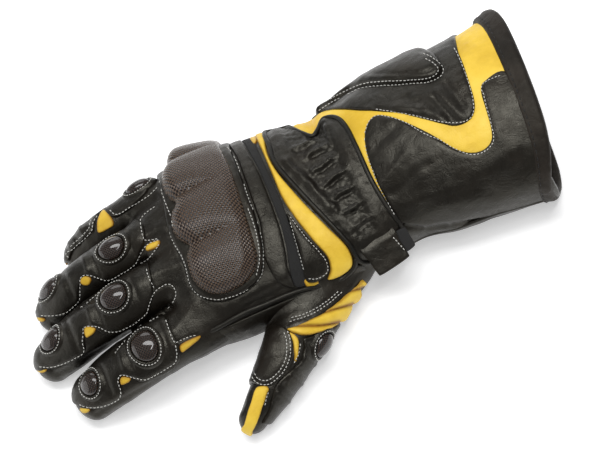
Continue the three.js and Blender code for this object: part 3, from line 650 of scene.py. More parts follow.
def leather(name, dark, mid, light, roughness, grain=0.4, crease=0.4, specular=0.34):
    """Colour from patches of noise times painted shade, and height from grain, creases and wrinkles added up."""
    material, nodes, links, shader = new_material(name)
    place = nodes.new("ShaderNodeTexCoord").outputs["Object"]
    patches = add_node(nodes, "ShaderNodeTexNoise", in_Scale=PATCH_SCALE, in_Detail=5.0, in_Roughness=0.62)
    links.new(place, patches.inputs["Vector"])
    ramp = colour_ramp(nodes, [(0.34, dark), (0.52, mid), (0.72, light)])
    links.new(patches.outputs["Fac"], ramp.inputs["Fac"])
    # Painted shade: an attribute from 0 to 1 that darkens the colour in creases and along borders.
    painted_shade = add_node(nodes, "ShaderNodeAttribute", attribute_name="painted_shade")
    shaded = add_node(nodes, "ShaderNodeMix", data_type="RGBA", blend_type="MULTIPLY")
    links.new(painted_shade.outputs["Fac"], shaded.inputs["Factor"])
    links.new(ramp.outputs["Color"], shaded.inputs[6])
    shaded.inputs[7].default_value = PAINTED_SHADE_COLOUR
    links.new(shaded.outputs[2], shader.inputs["Base Color"])

    to_edge = dict(in_Randomness=1.0, feature="DISTANCE_TO_EDGE")
    cells = add_node(nodes, "ShaderNodeTexVoronoi", in_Scale=GRAIN_SCALE, **to_edge)
    links.new(place, cells.inputs["Vector"])
    fine = bump(nodes, links, cells.outputs["Distance"], grain, GRAIN_DEPTH)
    creases = add_node(
        nodes, "ShaderNodeTexNoise", in_Scale=CREASE_SCALE, in_Detail=6.0, in_Roughness=0.66, in_Distortion=1.6
    )
    links.new(place, creases.inputs["Vector"])
    broad = bump(nodes, links, creases.outputs["Fac"], crease, CREASE_DEPTH, under=fine)

    wrinkles = add_node(nodes, "ShaderNodeTexVoronoi", in_Scale=WRINKLE_SCALE, **to_edge)
    bent = add_node(nodes, "ShaderNodeMix", data_type="VECTOR")
    bent.inputs["Factor"].default_value = 0.006
    links.new(place, bent.inputs[4])
    links.new(creases.outputs["Color"], bent.inputs[5])
    links.new(bent.outputs[1], wrinkles.inputs["Vector"])
    furrows = add_node(nodes, "ShaderNodeMapRange", in_From_Min=0.0, in_From_Max=0.12, in_To_Min=0.0, in_To_Max=1.0)
    links.new(wrinkles.outputs["Distance"], furrows.inputs["Value"])
    lines = bump(nodes, links, furrows.outputs["Result"], 0.35 * crease, WRINKLE_DEPTH, under=broad)
    links.new(lines.outputs["Normal"], shader.inputs["Normal"])

    shine = add_node(
        nodes,
        "ShaderNodeMapRange",
        in_From_Min=0.3,
        in_From_Max=0.7,
        in_To_Min=roughness - 0.08,
        in_To_Max=roughness + 0.12,
    )
    links.new(creases.outputs["Fac"], shine.inputs["Value"])
    links.new(shine.outputs["Result"], shader.inputs["Roughness"])
    shader.inputs["Specular IOR Level"].default_value = specular
    shader.inputs["Specular Tint"].default_value = WARM_SHINE
    return material


BLACK_LEATHER = leather(
    "black leather", (0.0035, 0.0027, 0.0021), (0.0065, 0.005, 0.0037), (0.0125, 0.0092, 0.0068), 0.33, specular=0.38
)
YELLOW_LEATHER = leather(
    "yellow leather", (0.68, 0.43, 0.03), (0.82, 0.55, 0.055), (0.88, 0.63, 0.09), 0.46, grain=0.3, crease=0.35
)
PIPING = leather("piping", (0.003, 0.003, 0.003), (0.006, 0.0055, 0.005), (0.011, 0.0095, 0.0085), 0.42, crease=0.3)
BINDING = leather(
    "binding leather", (0.008, 0.006, 0.005), (0.014, 0.0105, 0.0085), (0.024, 0.0185, 0.015), 0.55, specular=0.25
)
print("leathers:", [m.name for m in (BLACK_LEATHER, YELLOW_LEATHER, PIPING, BINDING)])

# %% [markdown]
# ### Weave under lacquer
#
# The guard and the sliders are moulded of flat tows of fibre, woven one over one, under clear lacquer. A picture of the
# weave would blur close up, so it is counted out: with i and j the numbers of the tows that cross at a place, the warp is
# on top where i + j is even, which makes the fine grid of dots. Each tow is rounded across its width. A thin warm sheen is
# the haze of scratches on the guard.

# %% Weave under lacquer
WEAVE_TURN = math.radians(12)
TOW_ROUNDNESS = 3.4
WEFT_SHARE = 0.6
HAZE_TINT = (1.0, 0.8, 0.62, 1)


def weave(name, tow, gap, bright, depth, specular, lacquer, haze):
    """Warp on top where floor(x / tow) + floor(y / tow) is even, and a tow's height is 1 - 3.4 times its offset squared."""
    material, nodes, links, shader = new_material(name)
    calculate = calculator(nodes, links)
    uv = nodes.new("ShaderNodeUVMap")
    turned = add_node(nodes, "ShaderNodeMapping")
    turned.inputs["Rotation"].default_value = (0, 0, WEAVE_TURN)
    links.new(uv.outputs["UV"], turned.inputs["Vector"])
    split = nodes.new("ShaderNodeSeparateXYZ")
    links.new(turned.outputs["Vector"], split.inputs["Vector"])

    counts = [calculate("DIVIDE", split.outputs[axis], tow) for axis in ("X", "Y")]
    i, j = (calculate("FLOOR", count) for count in counts)
    warp_up = calculate("LESS_THAN", calculate("FLOORED_MODULO", calculate("ADD", i, j), 2.0), 0.5)
    offsets = [calculate("SUBTRACT", calculate("FRACT", count), 0.5) for count in counts]
    squares = [calculate("POWER", calculate("ABSOLUTE", offset), 2.0) for offset in offsets]
    round_i, round_j = (calculate("SUBTRACT", 1.0, calculate("MULTIPLY", s, TOW_ROUNDNESS)) for s in squares)
    height = add_node(nodes, "ShaderNodeMix", data_type="FLOAT")
    links.new(warp_up, height.inputs["Factor"])
    links.new(calculate("MULTIPLY", round_j, WEFT_SHARE), height.inputs[2])
    links.new(round_i, height.inputs[3])
    tows = bump(nodes, links, height.outputs[0], 1.0, depth)
    links.new(tows.outputs["Normal"], shader.inputs["Normal"])

    colour = add_node(nodes, "ShaderNodeMix", data_type="RGBA")
    colour.inputs[6].default_value = (*gap, 1)
    colour.inputs[7].default_value = (*bright, 1)
    links.new(calculate("MULTIPLY", warp_up, round_i), colour.inputs["Factor"])
    links.new(colour.outputs[2], shader.inputs["Base Color"])
    shader.inputs["Roughness"].default_value = 0.24
    shader.inputs["Specular IOR Level"].default_value = specular
    shader.inputs["Coat Weight"].default_value = lacquer
    shader.inputs["Coat Roughness"].default_value = 0.03
    shader.inputs["Sheen Weight"].default_value = haze
    shader.inputs["Sheen Roughness"].default_value = 0.2
    shader.inputs["Sheen Tint"].default_value = HAZE_TINT
    return material


GUARD_WEAVE = weave("guard weave", 0.00108, (0.012, 0.008, 0.0055), (0.1, 0.062, 0.038), 0.00032, 0.42, 0.04, 0.16)
SLIDER_WEAVE = weave("slider weave", 0.0008, (0.004, 0.003, 0.0025), (0.042, 0.023, 0.014), 0.0002, 0.12, 1.0, 0.0)


def stretch_fabric():
    """Knitted elastic: fine ribs from a wave across the piece's own pattern, with no shine."""
    material, nodes, links, shader = new_material("stretch fabric")
    uv = nodes.new("ShaderNodeUVMap")
    wave = add_node(nodes, "ShaderNodeTexWave", in_Scale=420.0, in_Distortion=0.6, bands_direction="Y")
    links.new(uv.outputs["UV"], wave.inputs["Vector"])
    ribs = bump(nodes, links, wave.outputs["Fac"], 0.8, 0.0004)
    links.new(ribs.outputs["Normal"], shader.inputs["Normal"])
    shader.inputs["Base Color"].default_value = (0.013, 0.0125, 0.0118, 1)
    shader.inputs["Roughness"].default_value = 0.85
    return material


STRETCH = stretch_fabric()
print("woven finishes:", [m.name for m in (GUARD_WEAVE, SLIDER_WEAVE, STRETCH)])

# %% [markdown]
# ## Making meshes
#
# Each visible piece goes through one function, which moves it to the shared frame, gives it its flat pattern as a UV
# map, fixes it to the glove's one body, and hides the plain solid that it stands for. Its place is in its mesh, so its
# object stays at the origin, unturned and unscaled.

# %% From points to a piece
FINISHES = {
    "black_leather": (BLACK_LEATHER, PIPING, BINDING, DARK_THREAD),
    "yellow_leather": (YELLOW_LEATHER, THREAD),
    "guard_plastic": (GUARD_WEAVE, SLIDER_WEAVE),
    "stretch_fabric": (STRETCH, LINING),
}  # the finishes that stand for each material of the plain model
SLOT = {finish.name: slot for slot, finishes in FINISHES.items() for finish in finishes}
pieces = {}


def to_frame(p):
    """Millimetres on the form to metres in the shared frame."""
    return (p + SHIFT_TO_FRAME) / MM_PER_M


def from_frame(mesh):
    """A mesh's points, in millimetres on the form."""
    co = np.zeros(len(mesh.vertices) * 3)
    mesh.vertices.foreach_get("co", co)
    return co.reshape(-1, 3) * MM_PER_M - SHIFT_TO_FRAME


def make_object(name, points, faces, material, uv=None, replaces=()):
    """Makes, places and records one piece."""
    mesh = bpy.data.meshes.new(name)
    mesh.from_pydata(to_frame(points).tolist(), [], [list(map(int, f)) for f in faces])
    if uv is not None:
        layer = mesh.uv_layers.new(name="UVMap")
        corner = np.zeros(len(mesh.loops), dtype=np.int32)
        mesh.loops.foreach_get("vertex_index", corner)
        layer.data.foreach_set("uv", (uv[corner] / MM_PER_M).astype(np.float32).ravel())
    mesh.materials.append(material)
    mesh.shade_smooth()
    mesh.update()
    piece = bpy.data.objects.new(name, mesh)
    bpy.context.scene.collection.objects.link(piece)
    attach(piece, "root")
    if replaces:
        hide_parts(*replaces)
    pieces[name] = piece
    return piece


def paint_shade(piece, painted_shade):
    """Writes painted shade at each point, from 0 to 1, for the leather's colour to darken by."""
    layer = piece.data.attributes.new("painted_shade", "FLOAT", "POINT")
    layer.data.foreach_set("value", painted_shade.astype(np.float32))


print("finishes so far:", len(bpy.data.materials))

# %% [markdown]
# A flat pattern is filled with points: three rows close to its edge, for a rounded border, and an even grid inside. A
# Delaunay triangulation joins them and keeps the outline. A filled curve with a remesh would be shorter to write, but it
# puts no rows along the edge, and the border is what the eye sees on sewn leather.

# %% Filling a pattern
EDGE_ROWS = (0.22, 0.55, 1.0)  # shares of the border's width


def outward_ways(border, inwards=False):
    """At each point of an outline, the way square to it that leaves the pattern, or enters it."""
    way = np.roll(border, -1, axis=0) - np.roll(border, 1, axis=0)
    way = np.stack([way[:, 1], -way[:, 0]], 1) / np.maximum(np.linalg.norm(way, axis=1, keepdims=True), TINY)
    following = np.roll(border, -1, axis=0)
    turning = np.sign(np.sum(border[:, 0] * following[:, 1] - following[:, 0] * border[:, 1]))
    return way * (-turning if inwards else turning)


def fill_pattern(outline, spacing, edge=1.2):
    """Triangles over a closed outline, with the distance of each point from the edge."""
    border = curve_through(outline, min(spacing, 0.9), closed=True)
    low, high = border.min(0), border.max(0)
    x = np.arange(low[0], high[0], spacing)
    y = np.arange(low[1], high[1], spacing * 0.866)
    gx, gy = np.meshgrid(x, y)
    gx[1::2] += spacing / 2
    grid = np.stack([gx.ravel(), gy.ravel()], 1)
    grid = grid[inside(grid, border)]
    grid = grid[segment_distance(grid, border, closed=True)[0] > edge + 0.45 * spacing]
    inwards = outward_ways(border, inwards=True)
    rows = [border]
    for share in EDGE_ROWS:
        depth = share * edge
        row = border + depth * inwards
        row = row[inside(row, border)]
        rows.append(row[segment_distance(row, border, closed=True)[0] > 0.85 * depth])
    every = np.concatenate([*rows, grid])
    loop = list(range(len(border)))
    coords, _, faces, *_ = delaunay_2d_cdt([Vector(p) for p in every.tolist()], [], [loop], 1, 1e-5)
    points = np.array([tuple(c) for c in coords])
    faces = np.array([f for f in faces if len(f) == 3])
    a, b, c = (points[faces[:, k]] for k in range(3))
    turned = (b[:, 0] - a[:, 0]) * (c[:, 1] - a[:, 1]) - (b[:, 1] - a[:, 1]) * (c[:, 0] - a[:, 0]) < 0
    faces[turned] = faces[turned][:, ::-1]
    return points, faces, segment_distance(points, border, closed=True)[0]


def rounded_edge(distance, thickness, radius, sink=0.5):
    """Thickness times a quarter circle of distance over radius, from just below the leather that the layer lies on."""
    return -sink + (thickness + sink) * quarter_circle(distance / radius)


print("a pattern of 20 mm square:", len(fill_pattern([[0, 0], [20, 0], [20, 20], [0, 20]], 1.5)[1]), "triangles")

# %% [markdown]
# ## Patterns, seams and folds
#
# Each sewn piece is an outline of a few corners on the drawing plane, in millimetres, read off the photograph at 0.60 mm
# for each pixel. Where a piece runs on out of sight, its v of 75 is the far side of the glove.

# %% Pattern outlines
PATTERN = {
    "lower_panel": [
        [54.5, -34], [54, -15], [54, 0], [54.5, 10], [57, 23], [61, 32], [66, 36.5], [71, 37.5], [78, 33],
        [87, 23], [97, 9], [104, -2], [111, -8], [119, -10], [126, -7], [129.5, 0], [132, 12], [134, 22],
        [137, 26], [150, 27], [152, 20], [150, 0], [147, -30], [143, -62], [100, -62], [57, -52],
    ],
    "upper_panel": [
        [40, 57], [48, 54.5], [56, 50.5], [64, 46], [73, 41], [84, 34], [96, 24], [107, 14], [114, 11], [121, 12],
        [126, 18], [129, 32], [131, 48], [130.5, 75], [40, 75],
    ],
    "roll": [
        [40, 56], [50, 57], [62, 57.5], [72, 56], [84, 51], [100, 44.5], [110, 41], [117, 42], [120, 47],
        [118, 55], [112, 62], [108, 75], [44, 75],
    ],
    "shirred": [
        [5, 50], [6, 58], [12, 60], [20, 55], [26, 48], [31, 43.5], [36, 45.5], [42, 49.5], [49, 47], [52, 40],
        [52, 25], [51, 5], [52, -12], [54, -27], [51, -36], [24, -36], [21, -22], [16, -5], [12, 8], [7, 25],
        [3.5, 40],
    ],
    "wrist_strip": [
        [1.5, 75], [0, 50], [-1, 35], [-2, 20], [-0.5, 5], [3, -12], [6, -24], [4, -32], [0, -36], [10, -37],
        [18, -34], [19.5, -24], [14.5, -8], [10, 6], [5.5, 22], [2.2, 38], [3, 50], [8, 62], [9, 75],
    ],
    "back_band": [
        [-17, 75], [-15.5, 55], [-17, 40], [-19, 25], [-21, 12], [-25, 1], [-28, -8], [-27, -24], [-20, -31],
        [-18, -20], [-14, -8], [-11, 5], [-9, 20], [-7.5, 40], [-8, 55], [-9, 75],
    ],
    "stretch": [
        [-8.4, 75], [-7.4, 55], [-6.9, 40], [-8.4, 20], [-10.4, 5], [-13.4, -8], [-17.4, -20], [-19, -31],
        [-12, -32], [-8, -14], [-5.3, 2], [-3, 20], [-2.2, 40], [-1.2, 60], [-1, 75],
    ],
    "triangle": [
        [-3.6, 10], [-2, 3], [0, -5], [2.5, -15], [4.5, -24], [3, -31], [-3, -33.5], [-11, -31.5], [-9.5, -22],
        [-6.5, -10],
    ],
    "surround": [
        [-17, 75], [-16.5, 55], [-18, 40], [-20.5, 20], [-24, 3], [-29, -9], [-36, -17], [-50, -20.5], [-62, -19],
        [-71, -13], [-75, -3], [-73, 10], [-72.5, 22], [-71, 33], [-68, 45], [-65, 56], [-58, 75],
    ],
    "guard": [
        [-22, 76], [-21.5, 60], [-21.5, 48], [-23.5, 32], [-26, 17], [-28.5, 3], [-31, -6], [-36, -12],
        [-43, -15.6], [-52, -16.6], [-60, -15.5], [-66, -12], [-69.3, -7], [-70.5, -1], [-69.5, 6], [-67, 13],
        [-63.5, 17.3], [-66.5, 21], [-68, 26], [-67, 31], [-64, 37], [-59.5, 41.5], [-61.5, 46], [-62.5, 51],
        [-60.5, 57], [-56, 61.5], [-54, 66], [-53, 76],
    ],
    "side_band": [
        [-88, -33], [-60, -33.5], [-40, -34.5], [-25, -35.5], [-14, -37], [0, -40], [12, -40], [20, -36],
        [24, -40], [22, -43], [12, -46.5], [0, -50], [-12, -52], [-26, -52], [-34, -50], [-42, -46], [-46, -54],
        [-88, -54],
    ],
    "ribs": [
        [-35, -52], [-26, -52.8], [-12, -52.8], [0, -50.8], [12, -47.3], [21, -44], [24, -46], [16, -49],
        [12, -53], [5, -57], [-2, -61], [-8, -62.5], [-18, -62], [-28, -59.5],
    ],
    "thumb_patch": [
        [-44, -46], [-36, -51], [-35.5, -58], [-40, -67], [-47, -73], [-56, -76.5], [-63, -75], [-68, -70],
        [-72, -66],
    ],
    "thumb_strip_short": [[-36, -53], [-33.6, -54.5], [-31.5, -60], [-35, -67], [-40, -72], [-35.8, -60]],
    "thumb_strip_long": [
        [-66.6, -74.6], [-60.2, -77.4], [-62.8, -80.5], [-67.1, -84.6], [-73, -90.2], [-77.5, -94], [-81.5, -97],
        [-85, -97.2], [-86.6, -94.4], [-82.8, -90], [-78, -85.1], [-73.8, -81],
    ],
    "thumb_back": [
        [-8, -63], [-18, -62.7], [-29.5, -61], [-31, -66], [-38, -73], [-47, -75], [-57, -78.7], [-62, -84.5],
        [-68, -90.5], [-74, -95.5], [-60, -99], [-38, -90], [-15, -78], [-2, -66],
    ],
    "index_panel": [
        [-167, -35], [-163, -39], [-157, -42], [-150, -43.5], [-144, -43], [-141, -40], [-140, -34], [-136, -31],
        [-131, -35], [-126, -39.5], [-115, -41], [-105, -40], [-99, -34], [-98, -20], [-99, -8], [-120, -6],
        [-150, -12], [-170, -20],
    ],
    "middle_panel": [
        [-180, -4], [-172, -7.5], [-165, -9], [-157, -9.5], [-150, -8.5], [-147, -2], [-143.5, 5], [-138, 3],
        [-133, -4], [-126, -7.2], [-115, -7.4], [-106, -5.5], [-100, 1], [-96, 8], [-94, 24], [-130, 26],
        [-160, 19], [-182, 8],
    ],
    "ring_panel": [
        [-168, 25], [-160, 21], [-150, 17.5], [-141, 19.5], [-135, 28], [-130, 32.3], [-125, 30], [-118, 23.5],
        [-108, 22.5], [-99, 24.5], [-92, 31], [-86, 36], [-86, 47], [-110, 52], [-150, 46], [-170, 34],
    ],
    "little_panel": [
        [-136, 44], [-127, 50], [-114, 54], [-108, 60], [-101, 62.5], [-97, 56], [-90, 55.5], [-78, 56.5],
        [-70, 60], [-70, 72], [-110, 74], [-140, 58],
    ],
}
print("patterns:", len(PATTERN))

# %% [markdown]
# A stitched seam pulls the leather down along its line. The panels' rows of white stitches run just inside their edges, and
# where a seam is sewn twice, it has an outer and an inner row.

# %% Stitched seams
SEAMS = {
    "lower_panel": [
        [53.5, -20], [53, 0], [54, 8], [55.5, 20], [58, 28], [61, 33], [66, 37.3], [71, 38], [76, 35], [82, 29.5],
        [86, 24.5], [92, 15], [98, 8], [103, 0], [108, -6], [112, -9], [117, -10.5], [122, -10], [126, -8],
        [128.5, -4], [129.5, 0], [131, 6], [132.5, 14], [134, 20], [134.5, 24], [137, 26.3], [143, 26.5],
        [150, 25.5],
    ],
    "upper_panel": [
        [72, 42], [80, 36.5], [90, 29], [97, 23], [103, 18], [108, 14.5], [113, 12], [118, 11], [122, 12],
        [125, 16], [127, 21], [128.5, 28], [130, 37], [131, 50], [130.5, 58],
    ],
    "roll_outer": [
        [41, 56.5], [50, 57.5], [60, 57.5], [70, 57], [80, 53.5], [90, 49], [100, 45], [106, 42.3], [112, 41.3],
        [117, 42], [119.5, 45], [118.5, 50], [116, 55], [112.5, 59],
    ],
    "roll_inner": [
        [48, 59.5], [60, 59.8], [72, 59], [82, 55.5], [92, 51], [101, 47], [107, 44.6], [112, 43.8], [115.5, 44.8],
        [116.8, 47], [115.5, 51], [112.5, 55.5],
    ],
    "triangle": [
        [-3, 8], [-2, 2], [0, -8], [2, -15], [4, -23], [4, -28], [2, -32], [-2, -33], [-6, -32.5], [-10, -30.5],
    ],
    "triangle_left": [[-4, 5], [-7, -10], [-10, -25]],
    "surround_left_top": [
        [-64, 58], [-65, 53], [-66.5, 40], [-68.5, 34], [-71, 34], [-72, 25], [-71.5, 18], [-72, 10], [-74, 2],
        [-74.5, -5], [-72, -10.5], [-66, -15.8], [-60, -18.2], [-50, -19.8], [-40, -18.5], [-33, -14.5], [-29, -8],
        [-26, -2], [-23.5, 6], [-21.5, 15], [-20, 30], [-18, 42], [-16.5, 52], [-17, 60], [-19, 65],
    ],
    "surround_inner": [[-37, -14.8], [-31.5, -8], [-28.5, -2], [-26, 6], [-24, 15], [-23, 24]],
    "index_top": [[-134, -18], [-130, -16], [-120, -12], [-112, -9.8], [-105, -10], [-99, -10]],
    "index_low": [
        [-167, -35], [-163, -39], [-157, -42], [-150, -43.3], [-144, -43], [-141, -40], [-140, -34], [-138, -31.5],
        [-136, -31], [-131, -35], [-127, -38.5], [-123, -40.3], [-105, -39.3], [-102, -37], [-100, -33],
        [-99, -29],
    ],
    "index_root": [[-97, -11], [-98, -18], [-99, -27], [-98, -28.5], [-90, -29], [-84, -30.5]],
    "middle_low": [
        [-178, -4], [-172, -7.5], [-165, -9], [-157, -9.5], [-150, -8.5], [-148, -3], [-145, 2], [-143.5, 4.6],
        [-139, 3.5], [-135, 0.5], [-131, -4.5], [-125, -7], [-115, -7], [-106, -5], [-104, -3], [-100, 1],
        [-97, 3.5], [-92, 5.2], [-86, 4.7], [-84, 1], [-85, -3], [-90, -7], [-96, -8.5],
    ],
    "middle_top": [[-140, 16], [-136, 16.5], [-128, 18.5], [-122, 20]],
    "middle_root": [[-92, 21], [-94, 18], [-95, 12], [-95, 6]],
    "ring_low": [
        [-165, 24.5], [-160, 21], [-150, 17.5], [-140, 19.5], [-137, 22], [-134, 28], [-132, 31.5], [-129, 32.5],
        [-125, 30], [-120, 25], [-117, 23], [-110, 23], [-100, 24], [-97, 25.5], [-93, 28.5], [-87, 31.5],
        [-79, 31],
    ],
    "ring_root": [[-72, 50], [-80, 48.5], [-84, 46], [-86, 40], [-87, 35], [-83, 33], [-78, 31.5]],
    "ring_slot": [[-96, 23.5], [-90, 23.8], [-84, 26.5], [-79, 29.5]],
    "ring_top": [[-166, 25], [-160, 31], [-157, 34.5]],
    "little_low": [[-132, 46], [-133, 49], [-128, 49.5], [-113, 54], [-110, 58], [-105, 61]],
    "little_mid": [[-98, 63], [-95, 56], [-85, 56.5], [-75, 57], [-67, 59], [-62, 62.5]],
    "side_band": [[-32, -48.3], [-22, -50], [-15, -50.2], [-8, -49.6], [-2, -48.4], [6, -46.3]],
    "side_band_upper": [[-30, -46.6], [-22, -48.2], [-15, -48.4], [-8, -47.8], [-2, -46.6], [4, -45]],
    "thumb_patch": [
        [-66, -65], [-66.5, -70], [-64, -74], [-60, -76], [-55, -75.5], [-50, -74], [-45, -71], [-41, -67],
        [-38, -62], [-36, -57], [-35.3, -52],
    ],
    "thumb_patch_inner": [
        [-64, -66], [-64.3, -69.5], [-62.3, -72.3], [-59, -73.8], [-55, -73.4], [-50.7, -72], [-46.3, -69.3],
        [-42.7, -65.6], [-39.9, -61], [-38, -56.5], [-37.4, -52],
    ],
    "thumb_back_tip": [[-62, -80], [-65, -83], [-68, -87]],
    "thumb_back_side": [[-32, -62.5], [-33, -65], [-37, -69], [-41, -72]],
    "little_low_inner": [[-131, 51], [-127, 51.8], [-113.5, 56], [-111.5, 59], [-107.5, 62]],
    "strap_right": [[46.5, -31], [47.7, -35], [48.7, -39], [49.6, -42.5]],
}
seam_lines = {name: curve_through(line, 0.8, closed=False) for name, line in SEAMS.items()}
print("seams:", len(seam_lines), "and their length, mm:", round(sum(run_along(line)[-1] for line in seam_lines.values())))

# %% [markdown]
# Folds are what makes leather look soft. A cloth simulation would put them where it likes. Here each fold of the photograph
# is one row: the two ends of its line, its half width, and its height, above zero for a ridge and below it for a crease.

# %% Folds and creases
FOLDS = table(
    "u0 v0 u1 v1 half_width height",
    [
        # drape folds of the upper gauntlet panel
        [106, 15, 99, 30, 2.8, 1.2], [110, 16, 107, 31, 2.2, -1.1], [116, 15, 110, 33, 2.6, 1.3],
        [120, 20, 117, 36, 2.0, -0.9],
        [84, 36, 98, 27, 3.2, 0.8], [92, 38, 104, 24, 2.4, -0.7],
        # puckered yellow leather at the top of the wrist
        [34, 62, 33.5, 46, 2.0, -1.8], [26, 60, 25, 50, 4.0, 1.7], [42, 59, 41, 49, 4.0, 1.3],
        # the shirred panel's smooth border
        [10, 36, 17, 17, 2.2, 1.0], [17, 17, 23, 0, 2.2, 1.1], [23, 0, 28, -16, 2.2, 0.8],
        [40.7, 44, 38.4, 33, 1.2, 1.2], [14, 34, 20, 18, 2.0, -0.8],
        # creases where the gauntlet opens out from the wrist
        [56, 0, 78, 10, 3.0, 0.9], [58, -8, 84, -2, 3.2, -0.7], [60, -16, 90, -20, 4.0, 0.7],
        [64, 22, 78, 26, 3.0, -0.7],
        [110, -20, 136, -16, 5.0, 0.8], [112, -32, 134, -30, 5.0, -0.6], [80, -26, 104, -34, 5.0, 0.7],
        # groove over the gauntlet's palm leather
        [54.5, -27, 65, -33.6, 1.2, -1.5], [67.5, -35, 79, -38.8, 1.2, -1.5], [82, -39.9, 112, -49.6, 1.2, -1.5],
        [115, -50.5, 142, -56.2, 1.2, -1.2],
        # the back of the hand by the thumb
        [-62, -23, -22, -22, 4.0, 0.9], [-50, -28, -8, -28, 3.0, -0.8], [-96, -22, -78, -14, 3.4, 0.9],
        [-96, -8, -76, -6, 3.0, -0.8],
        [-92, 14, -74, 12, 3.0, 0.9], [-94, 22, -76, 26, 2.4, -1.2], [-90, 36, -74, 38, 3.0, 0.9],
        [-88, 52, -70, 54, 2.6, -1.3],
        # knuckle creases of the fingers
        [-128, -30, -124, -12, 1.6, -0.8], [-132, -28, -129, -14, 1.5, 0.7], [-146, -38, -144, -22, 1.6, -0.8],
        [-104, -34, -102, -16, 1.6, -0.7],
        [-132, 0, -130, 16, 1.6, -0.8], [-137, 4, -135, 15, 1.5, 0.7], [-152, -6, -150, 12, 1.6, -0.8],
        [-107, -4, -105, 16, 1.6, -0.7],
        [-120, 28, -119, 42, 1.5, -0.8], [-125, 34, -124, 41, 1.4, 0.7], [-140, 24, -139, 38, 1.5, -0.8],
        [-96, 30, -95, 46, 1.6, -0.7],
        [-112, 54, -111, 62, 1.3, -0.8], [-118, 52, -117, 60, 1.3, 0.8], [-123, 51, -122, 57, 1.3, -0.8],
        [-128, 50, -127, 54, 1.2, 0.7],
        # black fold below each finger panel, where the side leather turns under
        [-160, -45, -110, -43, 1.5, -0.7], [-170, -13, -120, -11, 1.6, -0.9], [-158, 14, -112, 18, 1.6, -0.9],
        # wrinkles across the thumb
        [-30, -78, -36, -68, 1.5, 0.9], [-36, -82, -41, -74, 1.5, -0.9], [-42, -86, -46, -77, 1.5, 0.9],
        [-48, -88.5, -51, -80, 1.5, -0.9],
        [-54, -91, -57, -83, 1.5, 0.9], [-60, -93, -62, -86, 1.5, -0.8], [-22, -75, -27, -66, 1.6, -0.9],
        [-50, -60, -44, -50, 3.0, 0.7],
    ],
)
print("folds:", len(FOLDS["u0"]))

# %% [markdown]
# All of that unevenness is one height, added to every leather surface, so that a layer follows the leather under it. Under
# the folds and seams lie slow waves, because no glove is as smooth as its pattern.

# %% Relief
SEAM_DEPTH, SEAM_HALF_WIDTH = 0.5, 1.0
SOFT_WAVES = ((0.22, 26, 3), (0.12, 9, 4))  # height, length and seed of each layer of waves


def fold_height(uv):
    """The sum over all folds of height times a bell of the distance to the fold's line."""
    height = np.zeros(len(uv))
    for k in range(len(FOLDS["u0"])):
        a, b = (np.array([FOLDS["u" + end][k], FOLDS["v" + end][k]]) for end in "01")
        ab = b - a
        t = ((uv - a) @ ab) / (ab @ ab)
        off = np.hypot(*(uv - a - np.clip(t, 0, 1)[:, None] * ab).T)
        height += FOLDS["height"][k] * bell(off, FOLDS["half_width"][k])
    return height


def seam_dip(uv):
    """The deepest over all seams of less the seam's depth times a bell of the distance to it."""
    dip = np.zeros(len(uv))
    for line in seam_lines.values():
        near = np.all((uv > line.min(0) - 4) & (uv < line.max(0) + 4), axis=1)
        if near.any():
            d = segment_distance(uv[near], line[::2])[0]
            dip[near] = np.minimum(dip[near], -SEAM_DEPTH * bell(d, SEAM_HALF_WIDTH))
    return dip


def waves(p, scale, seed):
    """Smooth irregular height between about -1 and 1: eight turned sine waves added up."""
    turn = np.random.default_rng(seed)
    total = np.zeros(len(p))
    for _ in range(8):
        way = turn.normal(size=3)
        way *= turn.uniform(0.6, 1.6) * 2 * math.pi / (scale * np.linalg.norm(way))
        total += np.sin(p @ way + turn.uniform(0, 2 * math.pi))
    return total / 4


def relief(p, n):
    """Folds plus seams, where the leather faces the drawing, plus the soft waves everywhere."""
    uv = on_drawing(p)
    seen = smoothstep(n @ SQUARE, -0.15, 0.25)
    soft = sum(height * waves(p, scale, seed) for height, scale, seed in SOFT_WAVES)
    return seen * (fold_height(uv) + seam_dip(uv)) + soft


somewhere = np.array([[-40.0, 0.0, 55.0]])
print("relief on the back of the hand, mm:", round(float(relief(somewhere, SQUARE[None])[0]), 2))

# %% [markdown]
# ## The main leather
#
# The hand, fingers and cuff of a real glove are one soft shape before anything is sewn on top. The tubes are joined by a
# voxel remesh, which gives even squares over crossing shapes where a boolean would leave long thin faces. Every point is
# then settled on the blended form, because a remesh is only as smooth as its voxels, and lifted by the relief.

# %% Joining the tubes
VOXEL = 0.0013  # metres
TUBE_SIDES, TRUNK_ROWS, DIGIT_ROWS = 96, 90, 70
PAST_THE_CUFF = 12.0
FINGERTIP_TURN = 1.56  # how far round the fingertip a tube goes, just under a right angle


def tube_faces(rows, sides):
    """Squares between each ring of points and the next, then a face over the first ring and one over the last."""
    i, j = np.meshgrid(np.arange(rows - 1), np.arange(sides), indexing="ij")
    a, b = i * sides + j, i * sides + (j + 1) % sides
    quads = np.stack([a, b, b + sides, a + sides], -1).reshape(-1, 4).tolist()
    return quads + [list(range(sides))[::-1], [(rows - 1) * sides + k for k in range(sides)]]


def form_mesh():
    """The body's tube and the five digits' tubes, crossing one another."""
    points, faces = [], []
    angle = np.linspace(0, 2 * math.pi, TUBE_SIDES, endpoint=False)
    x = np.linspace(TRUNK_FRONT, TRUNK_BACK + PAST_THE_CUFF, TRUNK_ROWS)
    tubes = [trunk_point(x[:, None], angle[None, :]).reshape(-1, 3)]
    for digit in DIGIT.values():
        a = np.linspace(0, digit.length + FINGERTIP_TURN * digit.tip, DIGIT_ROWS)
        tubes.append(digit.point(a[:, None], angle[None, :]).reshape(-1, 3))
    for tube in tubes:
        start = sum(len(t) for t in points)
        points.append(tube)
        faces += [[v + start for v in f] for f in tube_faces(len(tube) // TUBE_SIDES, TUBE_SIDES)]
    return np.concatenate(points), faces


